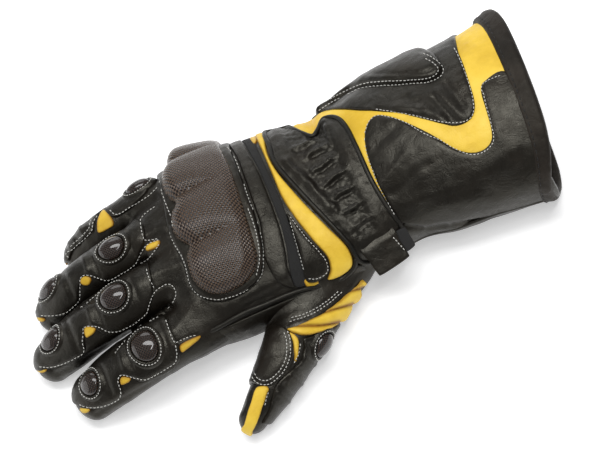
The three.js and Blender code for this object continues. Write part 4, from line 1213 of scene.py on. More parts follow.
def remeshed(points, faces):
    """One closed skin of squares round all the tubes, as points and faces of four."""
    crossing = bpy.data.meshes.new("crossing tubes")
    crossing.from_pydata(to_frame(points).tolist(), [], faces)
    source = bpy.data.objects.new("crossing tubes", crossing)
    bpy.context.scene.collection.objects.link(source)
    join = source.modifiers.new("join", "REMESH")
    join.mode, join.voxel_size = "VOXEL", VOXEL
    made = bpy.data.meshes.new_from_object(source.evaluated_get(bpy.context.evaluated_depsgraph_get()))
    bpy.data.objects.remove(source)
    corners = np.zeros(len(made.loops), dtype=np.int32)
    made.loops.foreach_get("vertex_index", corners)
    starts = np.zeros(len(made.polygons), dtype=np.int32)
    made.polygons.foreach_get("loop_start", starts)
    result = from_frame(made), corners[starts[:, None] + np.arange(4)]
    bpy.data.meshes.remove(made)
    return result


skin, skin_faces = remeshed(*form_mesh())
skin, skin_way = settle(skin)
skin = skin + relief(skin, skin_way)[:, None] * skin_way
skin[:, 2] = np.maximum(skin[:, 2], 0.0)  # the table holds it up
print("main leather:", len(skin), "points,", len(skin_faces), "faces")

# %% [markdown]
# The skin is now divided as the leather is: the back and palm of the hand, five sleeves for the fingers and thumb, and the
# cuff's back, which is yellow, and its palm side. Each face goes to a piece by where its middle lies. Cutting with planes
# would split faces and leave ragged rims, and here the seams lie under sewn panels or between two pieces of one colour.

# %% Dividing the leather
SIDE_SEAM = table(
    "x height", [[-100, 27], [0, 26], [18, 28], [26, 33], [40, 32], [80, 31], [120, 32], [190, 33]]
)
FINGER_CUT_X, WRIST_CUT_X = -92.0, 22.0
THUMB_CUT_POINT = np.array([-6, -52, 18.0])
THUMB_CUT_WAY = np.array([-0.62, -0.75, 0]) / math.hypot(0.62, 0.75)
THUMB_SKIN, OUT_OF_THE_BODY = 2.5, -0.2
UNDER_THE_BINDING = 3.0
BETWEEN_FINGERS = [("index", -80, -13), ("middle", -13, 20), ("ring", 20, 47.4), ("little", 47.4, 95)]


def add_skin(name, chosen, material):
    """The chosen faces as a piece of their own, with only the points that they use."""
    used, index = np.unique(skin_faces[chosen], return_inverse=True)
    return make_object(name + "_leather", skin[used], index.reshape(-1, 4), material, replaces=[name])


middles = skin[skin_faces].mean(1)
upper = middles[:, 2] > np.interp(middles[:, 0], SIDE_SEAM["x"], SIDE_SEAM["height"])
on_thumb = (
    ((middles - THUMB_CUT_POINT) @ THUMB_CUT_WAY > 0)
    & (DIGIT["thumb"].distance(middles) < THUMB_SKIN)
    & (trunk_distance(middles) > OUT_OF_THE_BODY)
)
on_fingers = (middles[:, 0] < FINGER_CUT_X) & ~on_thumb
on_cuff = (middles[:, 0] > WRIST_CUT_X) & ~on_thumb
on_hand = ~on_fingers & ~on_cuff & ~on_thumb
cuff_end = unshifted(middles[:, 0], middles[:, 1]) > TRUNK_BACK - UNDER_THE_BINDING
add_skin("thumb_sleeve", on_thumb, BLACK_LEATHER)
for name, low_y, high_y in BETWEEN_FINGERS:
    add_skin(name + "_sleeve", on_fingers & (middles[:, 1] > low_y) & (middles[:, 1] <= high_y), BLACK_LEATHER)
add_skin("hand_back", on_hand & upper, BLACK_LEATHER)
add_skin("palm", on_hand & ~upper, BLACK_LEATHER)
add_skin("gauntlet_back", on_cuff & upper & ~cuff_end, YELLOW_LEATHER)
add_skin("gauntlet_palm", on_cuff & ~upper & ~cuff_end, BLACK_LEATHER)
print("faces by piece:", {name: len(piece.data.polygons) for name, piece in pieces.items()})

# %% [markdown]
# ## Pieces sewn on the main leather
#
# A sewn piece is a second layer, 1 to 2 mm thick, whose cut edge is turned down to its seam. Its outline is found on the
# carrying surface, filled, and lifted off it: the layer with its rounded edge, then whatever is special to the piece, then
# the relief that all leather shares. Solidify would give the thickness too, but with a square edge that looks like card.

# %% Sewing a piece
# Painted shade for yellow leather, darker along its edges and along the creases between the thumb's ribs.
EDGE_SHADE, CREASE_SHADE = (0.75, 0.9), (0.97, 1.15)  # how dark, and the half width in mm


def sewn(node, pattern, surface, thickness, radius, material, spacing=1.3, base=0.0, extra=None, grow=0.0, creases=None):
    """One layer. Its height is base plus rounded edge plus extra plus relief, square to the surface."""
    corners = curve_through(PATTERN[pattern], 3.0, closed=True)
    corners = corners + grow * outward_ways(corners)
    ab, faces, edge = fill_pattern(surface.under(corners), spacing, edge=max(radius, 0.8))
    p, n = surface.lay(ab)
    lift = base + rounded_edge(edge, thickness, radius)
    if extra is not None:
        lift = lift + extra(p, n, edge, ab)
    lift = lift + relief(p, n)
    p = p + lift[:, None] * n
    p[:, 2] = np.maximum(p[:, 2], 0.0)
    piece = make_object(node + "_piece", p, faces, material, uv=ab, replaces=[node])
    # Yellow leather gets painted shade along its edges and, where creases are given, along its creases.
    if material is YELLOW_LEATHER:
        painted_shade = EDGE_SHADE[0] * bell(edge, EDGE_SHADE[1])
        if creases is not None:
            painted_shade = np.maximum(painted_shade, CREASE_SHADE[0] * bell(creases(p), CREASE_SHADE[1]))
        paint_shade(piece, painted_shade)
    print(f"{node}: {len(faces)} triangles")
    return piece


def puffed(height, reach):
    """Gives the height of padding: a quarter circle of the distance from the edge over the reach."""
    return lambda p, n, edge, ab: height * quarter_circle(edge / reach)


print("padding rises to this share of its height halfway in:", round(float(quarter_circle(0.5)), 2))


# %% [markdown]
# The cuff's two black panels lie on the yellow leather and leave its curved band showing. The roll is a padded flap
# over the upper panel.

# %% Panels of the cuff
STITCHED = 0.9  # how far the leather runs on past its stitches
sewn("gauntlet_lower_panel", "lower_panel", trunk_surface, 1.5, 1.3, BLACK_LEATHER, spacing=1.5, grow=STITCHED)
sewn("gauntlet_upper_panel", "upper_panel", trunk_surface, 1.5, 1.3, BLACK_LEATHER, spacing=1.3, grow=STITCHED)
roll = sewn("gauntlet_roll", "roll", trunk_surface, 3.2, 2.2, BLACK_LEATHER, spacing=1.3, extra=puffed(3.6, 14))

# %% [markdown]
# ### The gathered wrist
#
# The leather over the wrist is gathered by elastic under it, so that the wrist can bend. That is a row of short crests
# across the panel. Each has a gentle slope on one side, a steep drop on the other, and crumpled leather between. A cloth
# simulation with shrinking threads makes such gathers anywhere. Drawn crests keep to the photograph's places.

# %% Gathers
GATHERS = table(
    "u0 v0 u1 v1",
    [
        [18.2, 41.4, 30.5, 40.4], [20.8, 33.4, 35.4, 34.6], [20.9, 23.8, 37.7, 25.9], [23.3, 14.3, 39.7, 16.6],
        [25.7, 4.7, 38.6, 6.1], [27.3, -5.6, 39.2, -4.8], [30.3, -15, 39.8, -14.4],
    ],
)
CREST_HEIGHT, DROP_DEPTH = 1.6, 0.9
GENTLE_SIDE, STEEP_SIDE = (1.4, 1.4), (0.8, 1.6)  # half width in mm, and power
BROAD_SHARE, BROAD_HALF_WIDTH = 0.35, 3.6
DROP_AT, DROP_HALF_WIDTH = 2.0, 1.1
GATHER_START, GATHER_END = 4.5, 4.0
BAND_EDGE = table("v u", [[-24, 27], [-8, 23.5], [15, 19.5], [43, 16.5]])  # where the gathered band starts


def gather(uv, k):
    """Crest and drop of one gather: e to less the offset over a width to a power, faded out at both ends."""
    a, b = (np.array([GATHERS["u" + end][k], GATHERS["v" + end][k]]) for end in "01")
    length = np.linalg.norm(b - a)
    way = (b - a) / length
    along = (uv - a) @ way
    off = (uv - a) @ np.array([-way[1], way[0]]) + 0.3 * np.sin(along / 2.1 + 2.3 * k)
    starts = smoothstep(along, -GATHER_START, GATHER_START)
    ends = starts * (1 - smoothstep(along, length - GATHER_END, length + GATHER_END))
    gentle, steep = (np.exp(-((np.abs(off) / width) ** power)) for width, power in (GENTLE_SIDE, STEEP_SIDE))
    crest = np.where(off > 0, gentle, steep) + BROAD_SHARE * bell(off, BROAD_HALF_WIDTH)
    return CREST_HEIGHT * crest * ends, DROP_DEPTH * bell(off + DROP_AT, DROP_HALF_WIDTH) * ends


def gathered(p, n, edge, ab):
    """The highest crest less the deepest drop at each point, plus padding and crumples inside the gathered band."""
    uv = on_drawing(p)
    crests, drops = zip(*(gather(uv, k) for k in range(len(GATHERS["u0"]))))
    low = np.interp(uv[:, 1], BAND_EDGE["v"], BAND_EDGE["u"])
    band = smoothstep(uv[:, 0] - low, -3, 2) * (1 - smoothstep(uv[:, 0], 38, 43)) * smoothstep(uv[:, 1], -26, -18)
    puff = 1.5 * smoothstep(edge, 0.5, 7) * (1 - 0.7 * band)
    crumple = band * (0.26 * waves(p, 5.0, 11) + 0.09 * waves(p, 2.6, 12)) + 0.18 * waves(p, 8, 13)
    return np.max(crests, axis=0) - np.max(drops, axis=0) + puff + crumple


sewn("shirred_panel", "shirred", trunk_surface, 1.6, 1.2, BLACK_LEATHER, spacing=0.7, extra=gathered)

# %% [markdown]
# Between the wrist and the knuckles lie a yellow strip, a band of elastic, a flat leather band and a small stitched patch.
# The surround is the stuffed collar that holds the guard.

# %% Bands of the wrist and the back of the hand
sewn("wrist_strip", "wrist_strip", trunk_surface, 1.3, 1.2, YELLOW_LEATHER, extra=puffed(0.8, 6))
sewn("stretch_band", "stretch", trunk_surface, 0.9, 0.8, STRETCH)
sewn("back_band", "back_band", trunk_surface, 1.3, 1.1, BLACK_LEATHER, extra=puffed(0.7, 9))
sewn("triangle_patch", "triangle", trunk_surface, 1.7, 1.2, BLACK_LEATHER, extra=puffed(0.7, 5), grow=0.6)
surround = sewn("guard_surround", "surround", trunk_surface, 2.0, 1.8, BLACK_LEATHER, extra=puffed(1.4, 5))
sewn("side_band", "side_band", trunk_surface, 1.5, 1.3, BLACK_LEATHER, spacing=1.4)

# %% [markdown]
# ### Fingers and thumb
#
# Each finger carries one black panel with a wavy edge. The thumb has a yellow accordion panel at its root, which opens
# when
# the thumb bends: its ribs rise as a quarter circle from each crease to a broad crest, and the creases get painted
# shade.

# %% Panels of the fingers and the thumb
RIB_CREASES = [
    [[-32, -51], [-23, -55.5], [-15, -59.3], [-5, -62]],
    [[-25, -49.3], [-20.2, -51.1], [-8.8, -53.1], [7, -56]],
    [[-7, -47.2], [-1.4, -48.2], [6.2, -48.3], [17, -50]],
    [[7, -45], [11.8, -44.8], [22, -44.6]],
]
RIB_RISE, RIB_REACH, RIB_SINK = 2.5, 4.2, 1.3


def crease_distance(p):
    """Least distance, on the drawing, to the creases between the ribs."""
    lines = (curve_through(line, 1.5, closed=False) for line in RIB_CREASES)
    return np.min([segment_distance(on_drawing(p), line)[0] for line in lines], axis=0)


def accordion(p, n, edge, ab):
    """Rise times a quarter circle of the distance to the nearest crease over the reach, less the sink."""
    return RIB_RISE * quarter_circle(crease_distance(p) / RIB_REACH) - RIB_SINK


for name in ("index", "middle", "ring", "little"):
    surface = digit_surface[name]
    sewn(f"{name}_panel", f"{name}_panel", surface, 1.5, 1.2, BLACK_LEATHER, spacing=1.0, grow=STITCHED)
thumb = digit_surface["thumb"]
# The distance to the creases sets both the ribs' relief and their painted shade.
ribbed = dict(extra=accordion, creases=crease_distance)
sewn("thumb_ribs", "ribs", thumb, 1.2, 1.2, YELLOW_LEATHER, spacing=0.6, **ribbed)
sewn("thumb_patch", "thumb_patch", thumb, 1.5, 1.3, BLACK_LEATHER, spacing=1.1, extra=puffed(0.6, 6), grow=STITCHED)
sewn("thumb_strip_short", "thumb_strip_short", thumb, 1.2, 0.9, YELLOW_LEATHER, spacing=0.9)
sewn("thumb_strip_long", "thumb_strip_long", thumb, 1.3, 1.1, YELLOW_LEATHER, spacing=1.0)
sewn("thumb_back_panel", "thumb_back", thumb, 1.5, 1.3, BLACK_LEATHER, spacing=1.1)

# %% [markdown]
# Small scraps of yellow leather show between the black pieces, in the notches of the finger panels and at the fingertips.
# On the real glove they are the side strips of the fingers, mostly hidden. Only what shows is made, as thin patches
# with painted shade all round, darkest at their borders.

# %% Yellow scraps
ACCENTS = [
    ("little_side", "little", [[-109.5, 51], [-108.5, 55], [-104, 60], [-100, 62], [-98.5, 57], [-99, 51.5], [-103, 50.5]]),
    ("little_tip", "little", [[-138, 44.5], [-136.5, 46.5], [-134, 45], [-135, 42.5]]),
    ("ring_notch", "ring", [[-132.8, 30], [-131.5, 27], [-128.5, 26.2], [-125.8, 28.2], [-126.5, 31], [-130, 33]]),
    ("ring_tip", "ring", [[-166, 22], [-163.8, 19], [-161.5, 19], [-162.5, 22], [-165, 24]]),
    ("middle_notch", "middle", [[-144.8, -1.5], [-143.5, 4], [-140, 4.2], [-137, 1.2], [-138.5, -0.8], [-141.5, -1.8]]),
    ("middle_tip", "middle", [[-180, -5.5], [-178, -8], [-175, -8.6], [-174, -6.5], [-177, -4]]),
    ("index_notch", "index", [[-138.8, -36.5], [-138, -33], [-135.5, -32], [-132, -35], [-133.8, -37]]),
    ("index_tip", "index", [[-167.5, -38], [-166.5, -41], [-163, -41.8], [-162, -40], [-165, -37]]),
    ("index_side", "index", [[-97.8, -35.4], [-97, -31.5], [-92, -30.4], [-83, -31.2], [-84.5, -32.8], [-91, -34.6]]),
    ("finger_slot", None, [[-88.5, 28], [-87, 31.5], [-80, 31.2], [-79, 29.6], [-82, 27.4]]),
    ("stretch_top", None, [[-2.8, 56], [-3, 62], [0.6, 62], [0.2, 57]]),
    ("triangle_low", None, [[-13, -30], [-12, -36], [-6, -36.5], [-6, -31]]),
]
ACCENT_THICKNESS, ACCENT_EDGE = 1.0, 0.6


def accent(name, surface, corners):
    """A patch with a rounded edge, with painted shade that is dark at its border and a little over its middle."""
    ab, faces, edge = fill_pattern(surface.under(np.array(corners, float)), 0.8, edge=ACCENT_EDGE)
    p, n = surface.lay(ab)
    p = p + (rounded_edge(edge, ACCENT_THICKNESS, ACCENT_EDGE) + relief(p, n))[:, None] * n
    piece = make_object(name + "_accent", p, faces, YELLOW_LEATHER, uv=ab)
    # Painted shade: a quarter strength all over, and most at the border.
    paint_shade(piece, 0.25 + 0.7 * bell(edge, 0.8))


for name, finger, corners in ACCENTS:
    accent(name, digit_surface[finger] if finger else trunk_surface, corners)
print("accents:", len(ACCENTS))

# %% [markdown]
# ## Knuckle guard and sliders
#
# The guard is one moulding of four lobes side by side, one over each knuckle. Across each lobe the section is a dome, and
# towards the fingers it closes in the same curve, so the front is a rounded cap. The valleys between the lobes fill up
# towards the wrist, where the moulding slopes down as one smooth plate. It could be modelled as a subdivided cage, but the
# lobes are the same shape four times, so one formula with four rows of numbers is enough.

# %% Knuckle guard
LOBES = table(
    "middle half_angle front height",
    [[62, 20, -71, 7.6], [95, 16, -70, 8.2], [127, 17.5, -64, 8.4], [163, 19.5, -56.5, 8.0]],
)
CAP = 10.0  # length of the cap at the front
LOBE_POWER = 2.5  # 2 would be a plain ellipse
PLATE_HEIGHT, PLATE_SHARE = 7.6, 0.96
FILL_FROM, FILL_TO = -52, -20
SLOPE_FROM, SLOPE_SHARE = -46, 0.5
GUARD_BORDER = 8.0


def guard_height(p, n, edge, ab):
    """The highest dome, 1 less across and back each to a power, brought to the plate's height, slope and rounded border."""
    angle, x = np.degrees(ab[:, 1] / ARC), ab[:, 0]
    lobe, tall = np.zeros(len(p)), np.zeros(len(p))
    for k in range(len(LOBES["front"])):
        across = (angle - LOBES["middle"][k]) / LOBES["half_angle"][k]
        back = 1 - np.clip((x - LOBES["front"][k]) / CAP, 0, 1)
        dome = np.clip(1 - np.abs(across) ** LOBE_POWER - back**LOBE_POWER, 0, 1) ** (1 / LOBE_POWER)
        higher = dome > lobe
        lobe[higher], tall[higher] = dome[higher], LOBES["height"][k]
    filled = smoothstep(x, FILL_FROM, FILL_TO)
    tall = tall + (PLATE_HEIGHT - tall) * filled
    slope = 1 - SLOPE_SHARE * smoothstep(x, SLOPE_FROM, FILL_TO)
    border = quarter_circle(edge / GUARD_BORDER)
    return tall * slope * border * (lobe + (PLATE_SHARE - lobe) * filled) - relief(p, n)


sewn("knuckle_guard", "guard", trunk_surface, 3.6, 1.4, GUARD_WEAVE, spacing=0.8, base=1.2, extra=guard_height)

# %% [markdown]
# A slider is a low dome of the same weave in a padded leather ring. Both are built on the finger's own surface round the
# place that lies under the slider's middle on the drawing: rings of points at a share of the radii, each at a height. The
# dome follows the finger at its foot and turns one way at its top, as a hard moulding pressed on a soft finger does.

# %% Sliders
SLIDERS = [
    ("index_slider_1", "index", -154.5, -27.5, 5.6, 5.9),
    ("index_slider_2", "index", -115.2, -22, 6.6, 7.6),
    ("middle_slider_1", "middle", -163, 6.4, 7.2, 6.0),
    ("middle_slider_2", "middle", -118.3, 12.7, 7.0, 6.6),
    ("ring_slider_1", "ring", -150.5, 34.2, 7.2, 6.0),
    ("ring_slider_2", "ring", -106.4, 39, 7.2, 6.6),
    ("little_slider_1", "little", -76, 62.5, 6.2, 4.4),
    ("thumb_slider", "thumb", -20.5, -69.2, 7.4, 5.0),
]  # solid, finger, u, v, half size along u and along v
RING_WIDTH = 4.1
RING_PROFILE = table(
    "share height", [[0, 0.9], [0.05, 2.2], [0.13, 2.75], [0.24, 2.85], [0.4, 2.5], [0.58, 2.1], [0.8, 1.2], [1, -0.5]]
)
SLIDER_ROWS, RING_ROWS, SLIDER_SIDES = 14, 18, 48
DOME_FOOT, DOME_EDGE, DOME_RISE, DOME_POWER = 0.2, 1.7, 3.4, 0.9
FORESHORTENED, SLIDER_MARGIN = 1.12, 0.6  # a slider on the side of a finger is wider than it is drawn
RING_STITCHES_AT = 0.36  # share of the ring's width


def disc(surface, centre, radii, shares, heights):
    """Rings at each share of the radii, lifted along the mean of the local way and the disc's own way."""
    angle = np.linspace(0, 2 * math.pi, SLIDER_SIDES, endpoint=False)
    circle = np.stack([radii[0] * np.cos(angle), radii[1] * np.sin(angle)], 1)
    ab = np.concatenate([centre + share * circle for share in shares])
    p, n = surface.lay(ab)
    middle = n.mean(0) / np.linalg.norm(n.mean(0))
    n = 0.5 * n + 0.5 * middle
    n /= np.linalg.norm(n, axis=1, keepdims=True)
    points = p + np.repeat(heights, SLIDER_SIDES)[:, None] * n
    faces = tube_faces(len(shares), SLIDER_SIDES)[: (len(shares) - 1) * SLIDER_SIDES]
    return points, faces, ab, n


def ring_height(share):
    """The ring's profile at a share of its width, on straight lines."""
    return np.interp(share, RING_PROFILE["share"], RING_PROFILE["height"])


def add_slider(node, finger, u, v, half_u, half_v):
    """The dome, edge plus rise times cosine to a power, and its ring. Gives the line of the ring's stitches."""
    surface = digit_surface[finger]
    centre = surface.under(np.array([[u, v]]))[0]
    radii = np.array([half_u, half_v * FORESHORTENED]) + SLIDER_MARGIN
    turn = np.linspace(math.pi / 2, 0.02, SLIDER_ROWS)
    shares = np.concatenate([[1.0], np.sin(turn)])
    heights = np.concatenate([[DOME_FOOT], DOME_EDGE + DOME_RISE * np.cos(turn) ** DOME_POWER])
    points, faces, ab, _ = disc(surface, centre, radii, shares, heights)
    faces.append([len(points) - SLIDER_SIDES + k for k in range(SLIDER_SIDES)])
    make_object(node + "_dome", points, faces, SLIDER_WEAVE, uv=ab, replaces=[node])
    around = np.linspace(0, 1, RING_ROWS)
    points, faces, _, _ = disc(surface, centre, radii, 1 + around * RING_WIDTH / half_u, ring_height(around))
    make_object(node + "_ring", points, faces, BLACK_LEATHER)
    at = RING_STITCHES_AT
    line, _, _, way = disc(surface, centre, radii, [1 + at * RING_WIDTH / half_u], [ring_height(at)])
    return line, way


slider_stitch_lines = [add_slider(*row) for row in SLIDERS]
print("sliders:", len(slider_stitch_lines))

# %% [markdown]
# ## Piping and welt
#
# The gathered panel is edged with piping, a thin cord wrapped in leather, and a thicker welt runs along the thumb side of
# the hand. Each is a round tube along a line: rings of points square to the line at even steps. A curve with a bevel makes
# the same shape, but its rings don't know which way the leather faces.

# %% Piping and welt
WELT_LINE = [
    [-92, -31.3], [-85, -31.2], [-70, -31.5], [-60, -31], [-50, -31], [-40, -32], [-25, -33], [-15, -34.5], [-5, -37.5],
    [5, -38.8], [12, -38], [18, -35.6], [21, -32],
]
CORD_RADIUS, CORD_SIDES = 1.5, 10
PIPING_LIFT, WELT_LIFT = 1.6, 1.2


def tube_along(points, normals, radius, sides=CORD_SIDES, closed=False):
    """Each point plus radius times cosine sideways and sine upwards, with up square to the line."""
    if closed:
        along = np.roll(points, -1, axis=0) - np.roll(points, 1, axis=0)
    else:
        along = np.gradient(points, axis=0)
    along = unit(along)
    side = unit(np.cross(normals, along))
    up = np.cross(along, side)
    angle = np.linspace(0, 2 * math.pi, sides, endpoint=False)[None, :, None]
    ring = points[:, None] + radius * (np.cos(angle) * side[:, None] + np.sin(angle) * up[:, None])
    faces = tube_faces(len(points), sides)
    if closed:
        faces = faces[:-2]
        last = (len(points) - 1) * sides
        faces += [[last + j, last + (j + 1) % sides, (j + 1) % sides, j] for j in range(sides)]
    return ring.reshape(-1, 3), faces


def cord_on(surface, line_uv, lift, closed=False):
    """A cord whose middle lies at a height over the surface, along a drawn line."""
    p, n = surface.lay(surface.under(curve_through(line_uv, 1.0, closed)))
    return tube_along(p + lift * n, n, CORD_RADIUS, closed=closed)


points, faces = cord_on(trunk_surface, PATTERN["shirred"], PIPING_LIFT, closed=True)
make_object("shirred_piping_cord", points, faces, PIPING, replaces=["shirred_piping"])
print("piping:", len(faces), "faces")
points, faces = cord_on(trunk_surface, WELT_LINE, WELT_LIFT)
make_object("side_welt_cord", points, faces, PIPING, replaces=["side_welt"])
print("welt:", len(faces), "faces")

# %% [markdown]
# ## Wrist strap
#
# The strap closes the wrist. Its tongue is a flat strip that leaves the surface at its root and stands off the wrist at its
# tip, with a pad of hook tape under it. The two faces of a strip are the same filled outline, bowed up and down and joined
# at the border, which rounds its edge. A bevelled box would do, but it would be as flat as a ruler.

# %% Strap
STRAP_ROOT, STRAP_WAY = np.array([[37.0, -22.0]]), (0.12, -1.0)
STRAP_THICKNESS, STRAP_LIFT = 2.2, 1.9
HOOKS_THICKNESS, HOOKS_LIFT = 1.2, STRAP_LIFT - 0.7
ROOT_DIP, DIP_FROM, DIP_TO = 2.4, 3, 9
CURL, CURL_FROM = 0.0024, 8
p, n = trunk_surface.lay(trunk_surface.under(STRAP_ROOT))
strap_root, strap_up = p[0], n[0]
strap_way = STRAP_WAY[0] * np.array([1, 0, 0]) + STRAP_WAY[1] * ACROSS
strap_way -= (strap_way @ strap_up) * strap_up
strap_way /= np.linalg.norm(strap_way)
strap_side = np.cross(strap_up, strap_way)


def strip_outline(a0, a1, b0, b1):
    """A rectangle with rounded corners at its tip, bowed out by less than half a millimetre."""
    half_a, half_b = (a0 + a1) / 2, (b0 + b1) / 2
    near_side, tip = [[a0, b0], [half_a, b0 - 0.3], [a1 - 1, b0]], [[a1, b0 + 1], [a1 + 0.4, half_b], [a1, b1 - 1]]
    return np.array(near_side + tip + [[a1 - 1, b1], [half_a, b1 + 0.2], [a0, b1]], float)


def flat_strip(name, along, across, thickness, lift, material, replaces):
    """Middle plus and minus half the thickness times a quarter circle of the edge distance, dipping at the root."""
    ab, faces, edge = fill_pattern(strip_outline(*along, *across), 1.2, edge=0.8)
    round_off = quarter_circle(edge)
    dip = ROOT_DIP * (1 - smoothstep(ab[:, 0], DIP_FROM, DIP_TO))
    middle = lift + 0.5 * thickness - dip + CURL * (ab[:, 0] - CURL_FROM) ** 2
    inner = edge > 1e-4
    index = np.arange(len(ab))
    index[inner] = len(ab) + np.arange(inner.sum())
    flat = strap_root + ab[:, :1] * strap_way + ab[:, 1:] * strap_side
    top = flat + (middle + 0.5 * thickness * round_off)[:, None] * strap_up
    low = flat + (middle - 0.5 * thickness * round_off)[:, None] * strap_up
    points = np.concatenate([top, low[inner]])
    crumple = 0.1 * waves(points, 9, 31) + 0.05 * waves(points, 4, 32)
    points = points + crumple[:, None] * strap_up
    flip = np.cross(strap_way, strap_side) @ strap_up < 0
    upper_faces, lower_faces = (faces[:, ::-1], index[faces]) if flip else (faces, index[faces][:, ::-1])
    print(f"{name}: {2 * len(faces)} triangles")
    return make_object(name, points, np.concatenate([upper_faces, lower_faces]), material, replaces=replaces)


tongue, hooks = ((3.5, 24.8), (-11, 10.5)), ((9, 21.5), (7, 17))
flat_strip("wrist_strap_tongue", *tongue, STRAP_THICKNESS, STRAP_LIFT, BLACK_LEATHER, ["wrist_strap"])
flat_strip("wrist_strap_hooks", *hooks, HOOKS_THICKNESS, HOOKS_LIFT, STRETCH, ())

# %% [markdown]
# ## Binding, side seam and lining
#
# The cuff's raw edge is wrapped in a strip of leather, folded over and sewn through. Its section is a rounded hairpin,
# swept round the end of the cuff, with a ripple because a straight strip puckers on a curved edge. A bevelled curve could
# be swept the same way, and the formula of the cuff's own section keeps the binding on it everywhere.

# %% Cuff binding
HAIRPIN = np.array(
    [
        [-12.3, -0.4], [-12.0, 1.2], [-11.2, 1.9], [-8, 2.2], [-4, 2.9], [-1.5, 2.6], [-0.3, 1.5], [0.2, -0.4],
        [-0.2, -1.9], [-1.4, -2.8], [-5, -3.0], [-9, -2.9], [-11, -2.6], [-11.4, -2.0],
    ]
)  # place along x from the cuff's end, and height over its leather
BINDING_PAST_END = 0.6
around = np.linspace(0, 2 * math.pi, 220, endpoint=False)
section = curve_through(HAIRPIN, 0.7, closed=False)
binding = np.stack(
    [trunk_point(np.full_like(around, TRUNK_BACK + BINDING_PAST_END + x), around, lift=lift) for x, lift in section]
)
flat = binding.reshape(-1, 3)
ripple = (0.22 * waves(flat, 12, 21) + 0.16 * waves(flat, 5, 22)).reshape(binding.shape[:2])
binding = binding + ripple[..., None] * np.stack([0 * around, -np.cos(around), np.sin(around)], -1)
binding[..., 2] = np.maximum(binding[..., 2], 0)
faces = [f[::-1] for f in tube_faces(len(section), len(around))[:-2]]
make_object("cuff_binding_strip", binding.reshape(-1, 3), faces, BINDING, replaces=["cuff_binding"])
print("binding:", len(faces), "faces")

# %% [markdown]
# The cuff's two sides of leather meet in a seam low on the thumb side, which wanders a little. Inside the cuff is a lining
# of plain cloth, one wall's thickness in, so that a look into the cuff meets cloth and not the back of the leather. It is
# closed at the finger end, where nothing is seen.

# %% Side seam and lining
WALL = 2.0
SIDE_SEAM_ANGLE, SIDE_SEAM_WANDER = math.radians(-9), 0.05
SIDE_SEAM_FROM, SIDE_SEAM_TO = 52, TRUNK_BACK - 9
seam_x = np.linspace(SIDE_SEAM_FROM, SIDE_SEAM_TO, 90)
seam_angle = SIDE_SEAM_ANGLE + SIDE_SEAM_WANDER * np.sin(seam_x / 13)
seam_up = facing(trunk_surface.at, seam_x, seam_angle * ARC)
points, faces = tube_along(trunk_point(seam_x, seam_angle, lift=0.5), seam_up, CORD_RADIUS)
make_object("gauntlet_side_seam", points, faces, BLACK_LEATHER)
print("side seam:", len(faces), "faces")

lining_x = np.linspace(TRUNK_FRONT + 8, TRUNK_BACK - 2.5, 80)
lining_angle = np.linspace(0, 2 * math.pi, 90, endpoint=False)
lining = trunk_point(lining_x[:, None], lining_angle[None, :], lift=-WALL).reshape(-1, 3)
faces = [f[::-1] for f in tube_faces(len(lining_x), len(lining_angle))[:-1]]
make_object("lining", lining, faces, LINING)
print("lining:", len(faces), "faces")

# %% [markdown]
# ## Stitches
#
# The seams are sewn in thick white thread, and each stitch is a short bead of it. Blender could scatter one mesh along
# curves. Here every stitch is dropped by itself: a ray from the photograph's eye finds the top of the glove under each of
# its two ends, so the thread lies on whatever piece is uppermost there, however it is folded.

# %% The glove as one surface
surface_points, surface_faces = [], []
for piece in pieces.values():
    start = sum(len(p) for p in surface_points)
    surface_points.append(from_frame(piece.data))
    surface_faces += [[v + start for v in face.vertices] for face in piece.data.polygons]
tree = BVHTree.FromPolygons(np.concatenate(surface_points).tolist(), surface_faces)
print("faces to drop stitches on:", len(surface_faces))


def drop(uv):
    """The top of the glove under a place on the drawing plane, and the way it faces."""
    origin = DRAWING_MIDDLE + EYE * SQUARE
    way = np.array([uv[0], 0, DRAWING_Z]) + uv[1] * ACROSS - origin
    place, normal, _, _ = tree.ray_cast(Vector(origin), Vector(way), 2 * EYE)
    return (None, None) if place is None else (np.array(place), np.array(normal))


# %% [markdown]
# One stitch is a closed tube of six rings with six sides, thin and low at both ends where it dives into the leather, and
# somewhat flattened by the pull of the thread. With over a thousand of them, a few dozen faces for each is plenty.

# %% One stitch
STITCH_WIDTH, STITCH_FLATNESS = 0.52, 0.36
STITCH_SIDES = 6
STITCH_ROWS = [
    (-0.5, 0.35, -0.35), (-0.42, 0.8, 0.0), (-0.2, 1.0, 0.28), (0.2, 1.0, 0.28), (0.42, 0.8, 0.0), (0.5, 0.35, -0.35),
]  # place along, size and lift of each ring


def stitch(a, b, n):
    """For each ring: the middle plus its place along, plus its lift, plus a flattened circle of its size."""
    along = b - a
    length = np.linalg.norm(along)
    along = along / length
    side = np.cross(n, along)
    side /= np.linalg.norm(side)
    up = np.cross(along, side)
    angle = np.linspace(0, 2 * math.pi, STITCH_SIDES, endpoint=False)[:, None]
    circle = np.cos(angle) * side * STITCH_WIDTH / 2 + np.sin(angle) * up * STITCH_WIDTH * STITCH_FLATNESS
    middle = (a + b) / 2
    return np.concatenate([middle + along * length * t + up * lift + circle * size for t, size, lift in STITCH_ROWS])


def add_stitches(name, made, material):
    """All stitches of one thread as one piece."""
    one = tube_faces(len(STITCH_ROWS), STITCH_SIDES)
    faces = [[v + k * len(STITCH_ROWS) * STITCH_SIDES for v in f] for k in range(len(made)) for f in one]
    make_object(name, np.concatenate(made), faces, material)
    print(name, len(made))


print("faces of one stitch:", len(tube_faces(len(STITCH_ROWS), STITCH_SIDES)))


# %% [markdown]
# A sewing machine sets its stitches at an even pitch, and leather makes them stray a little. Each gap and each place gets a
# small random change, the same in every run because the numbers are seeded. Where the leather turns away from the eye, the
# row stops, because it would wander down the far side.

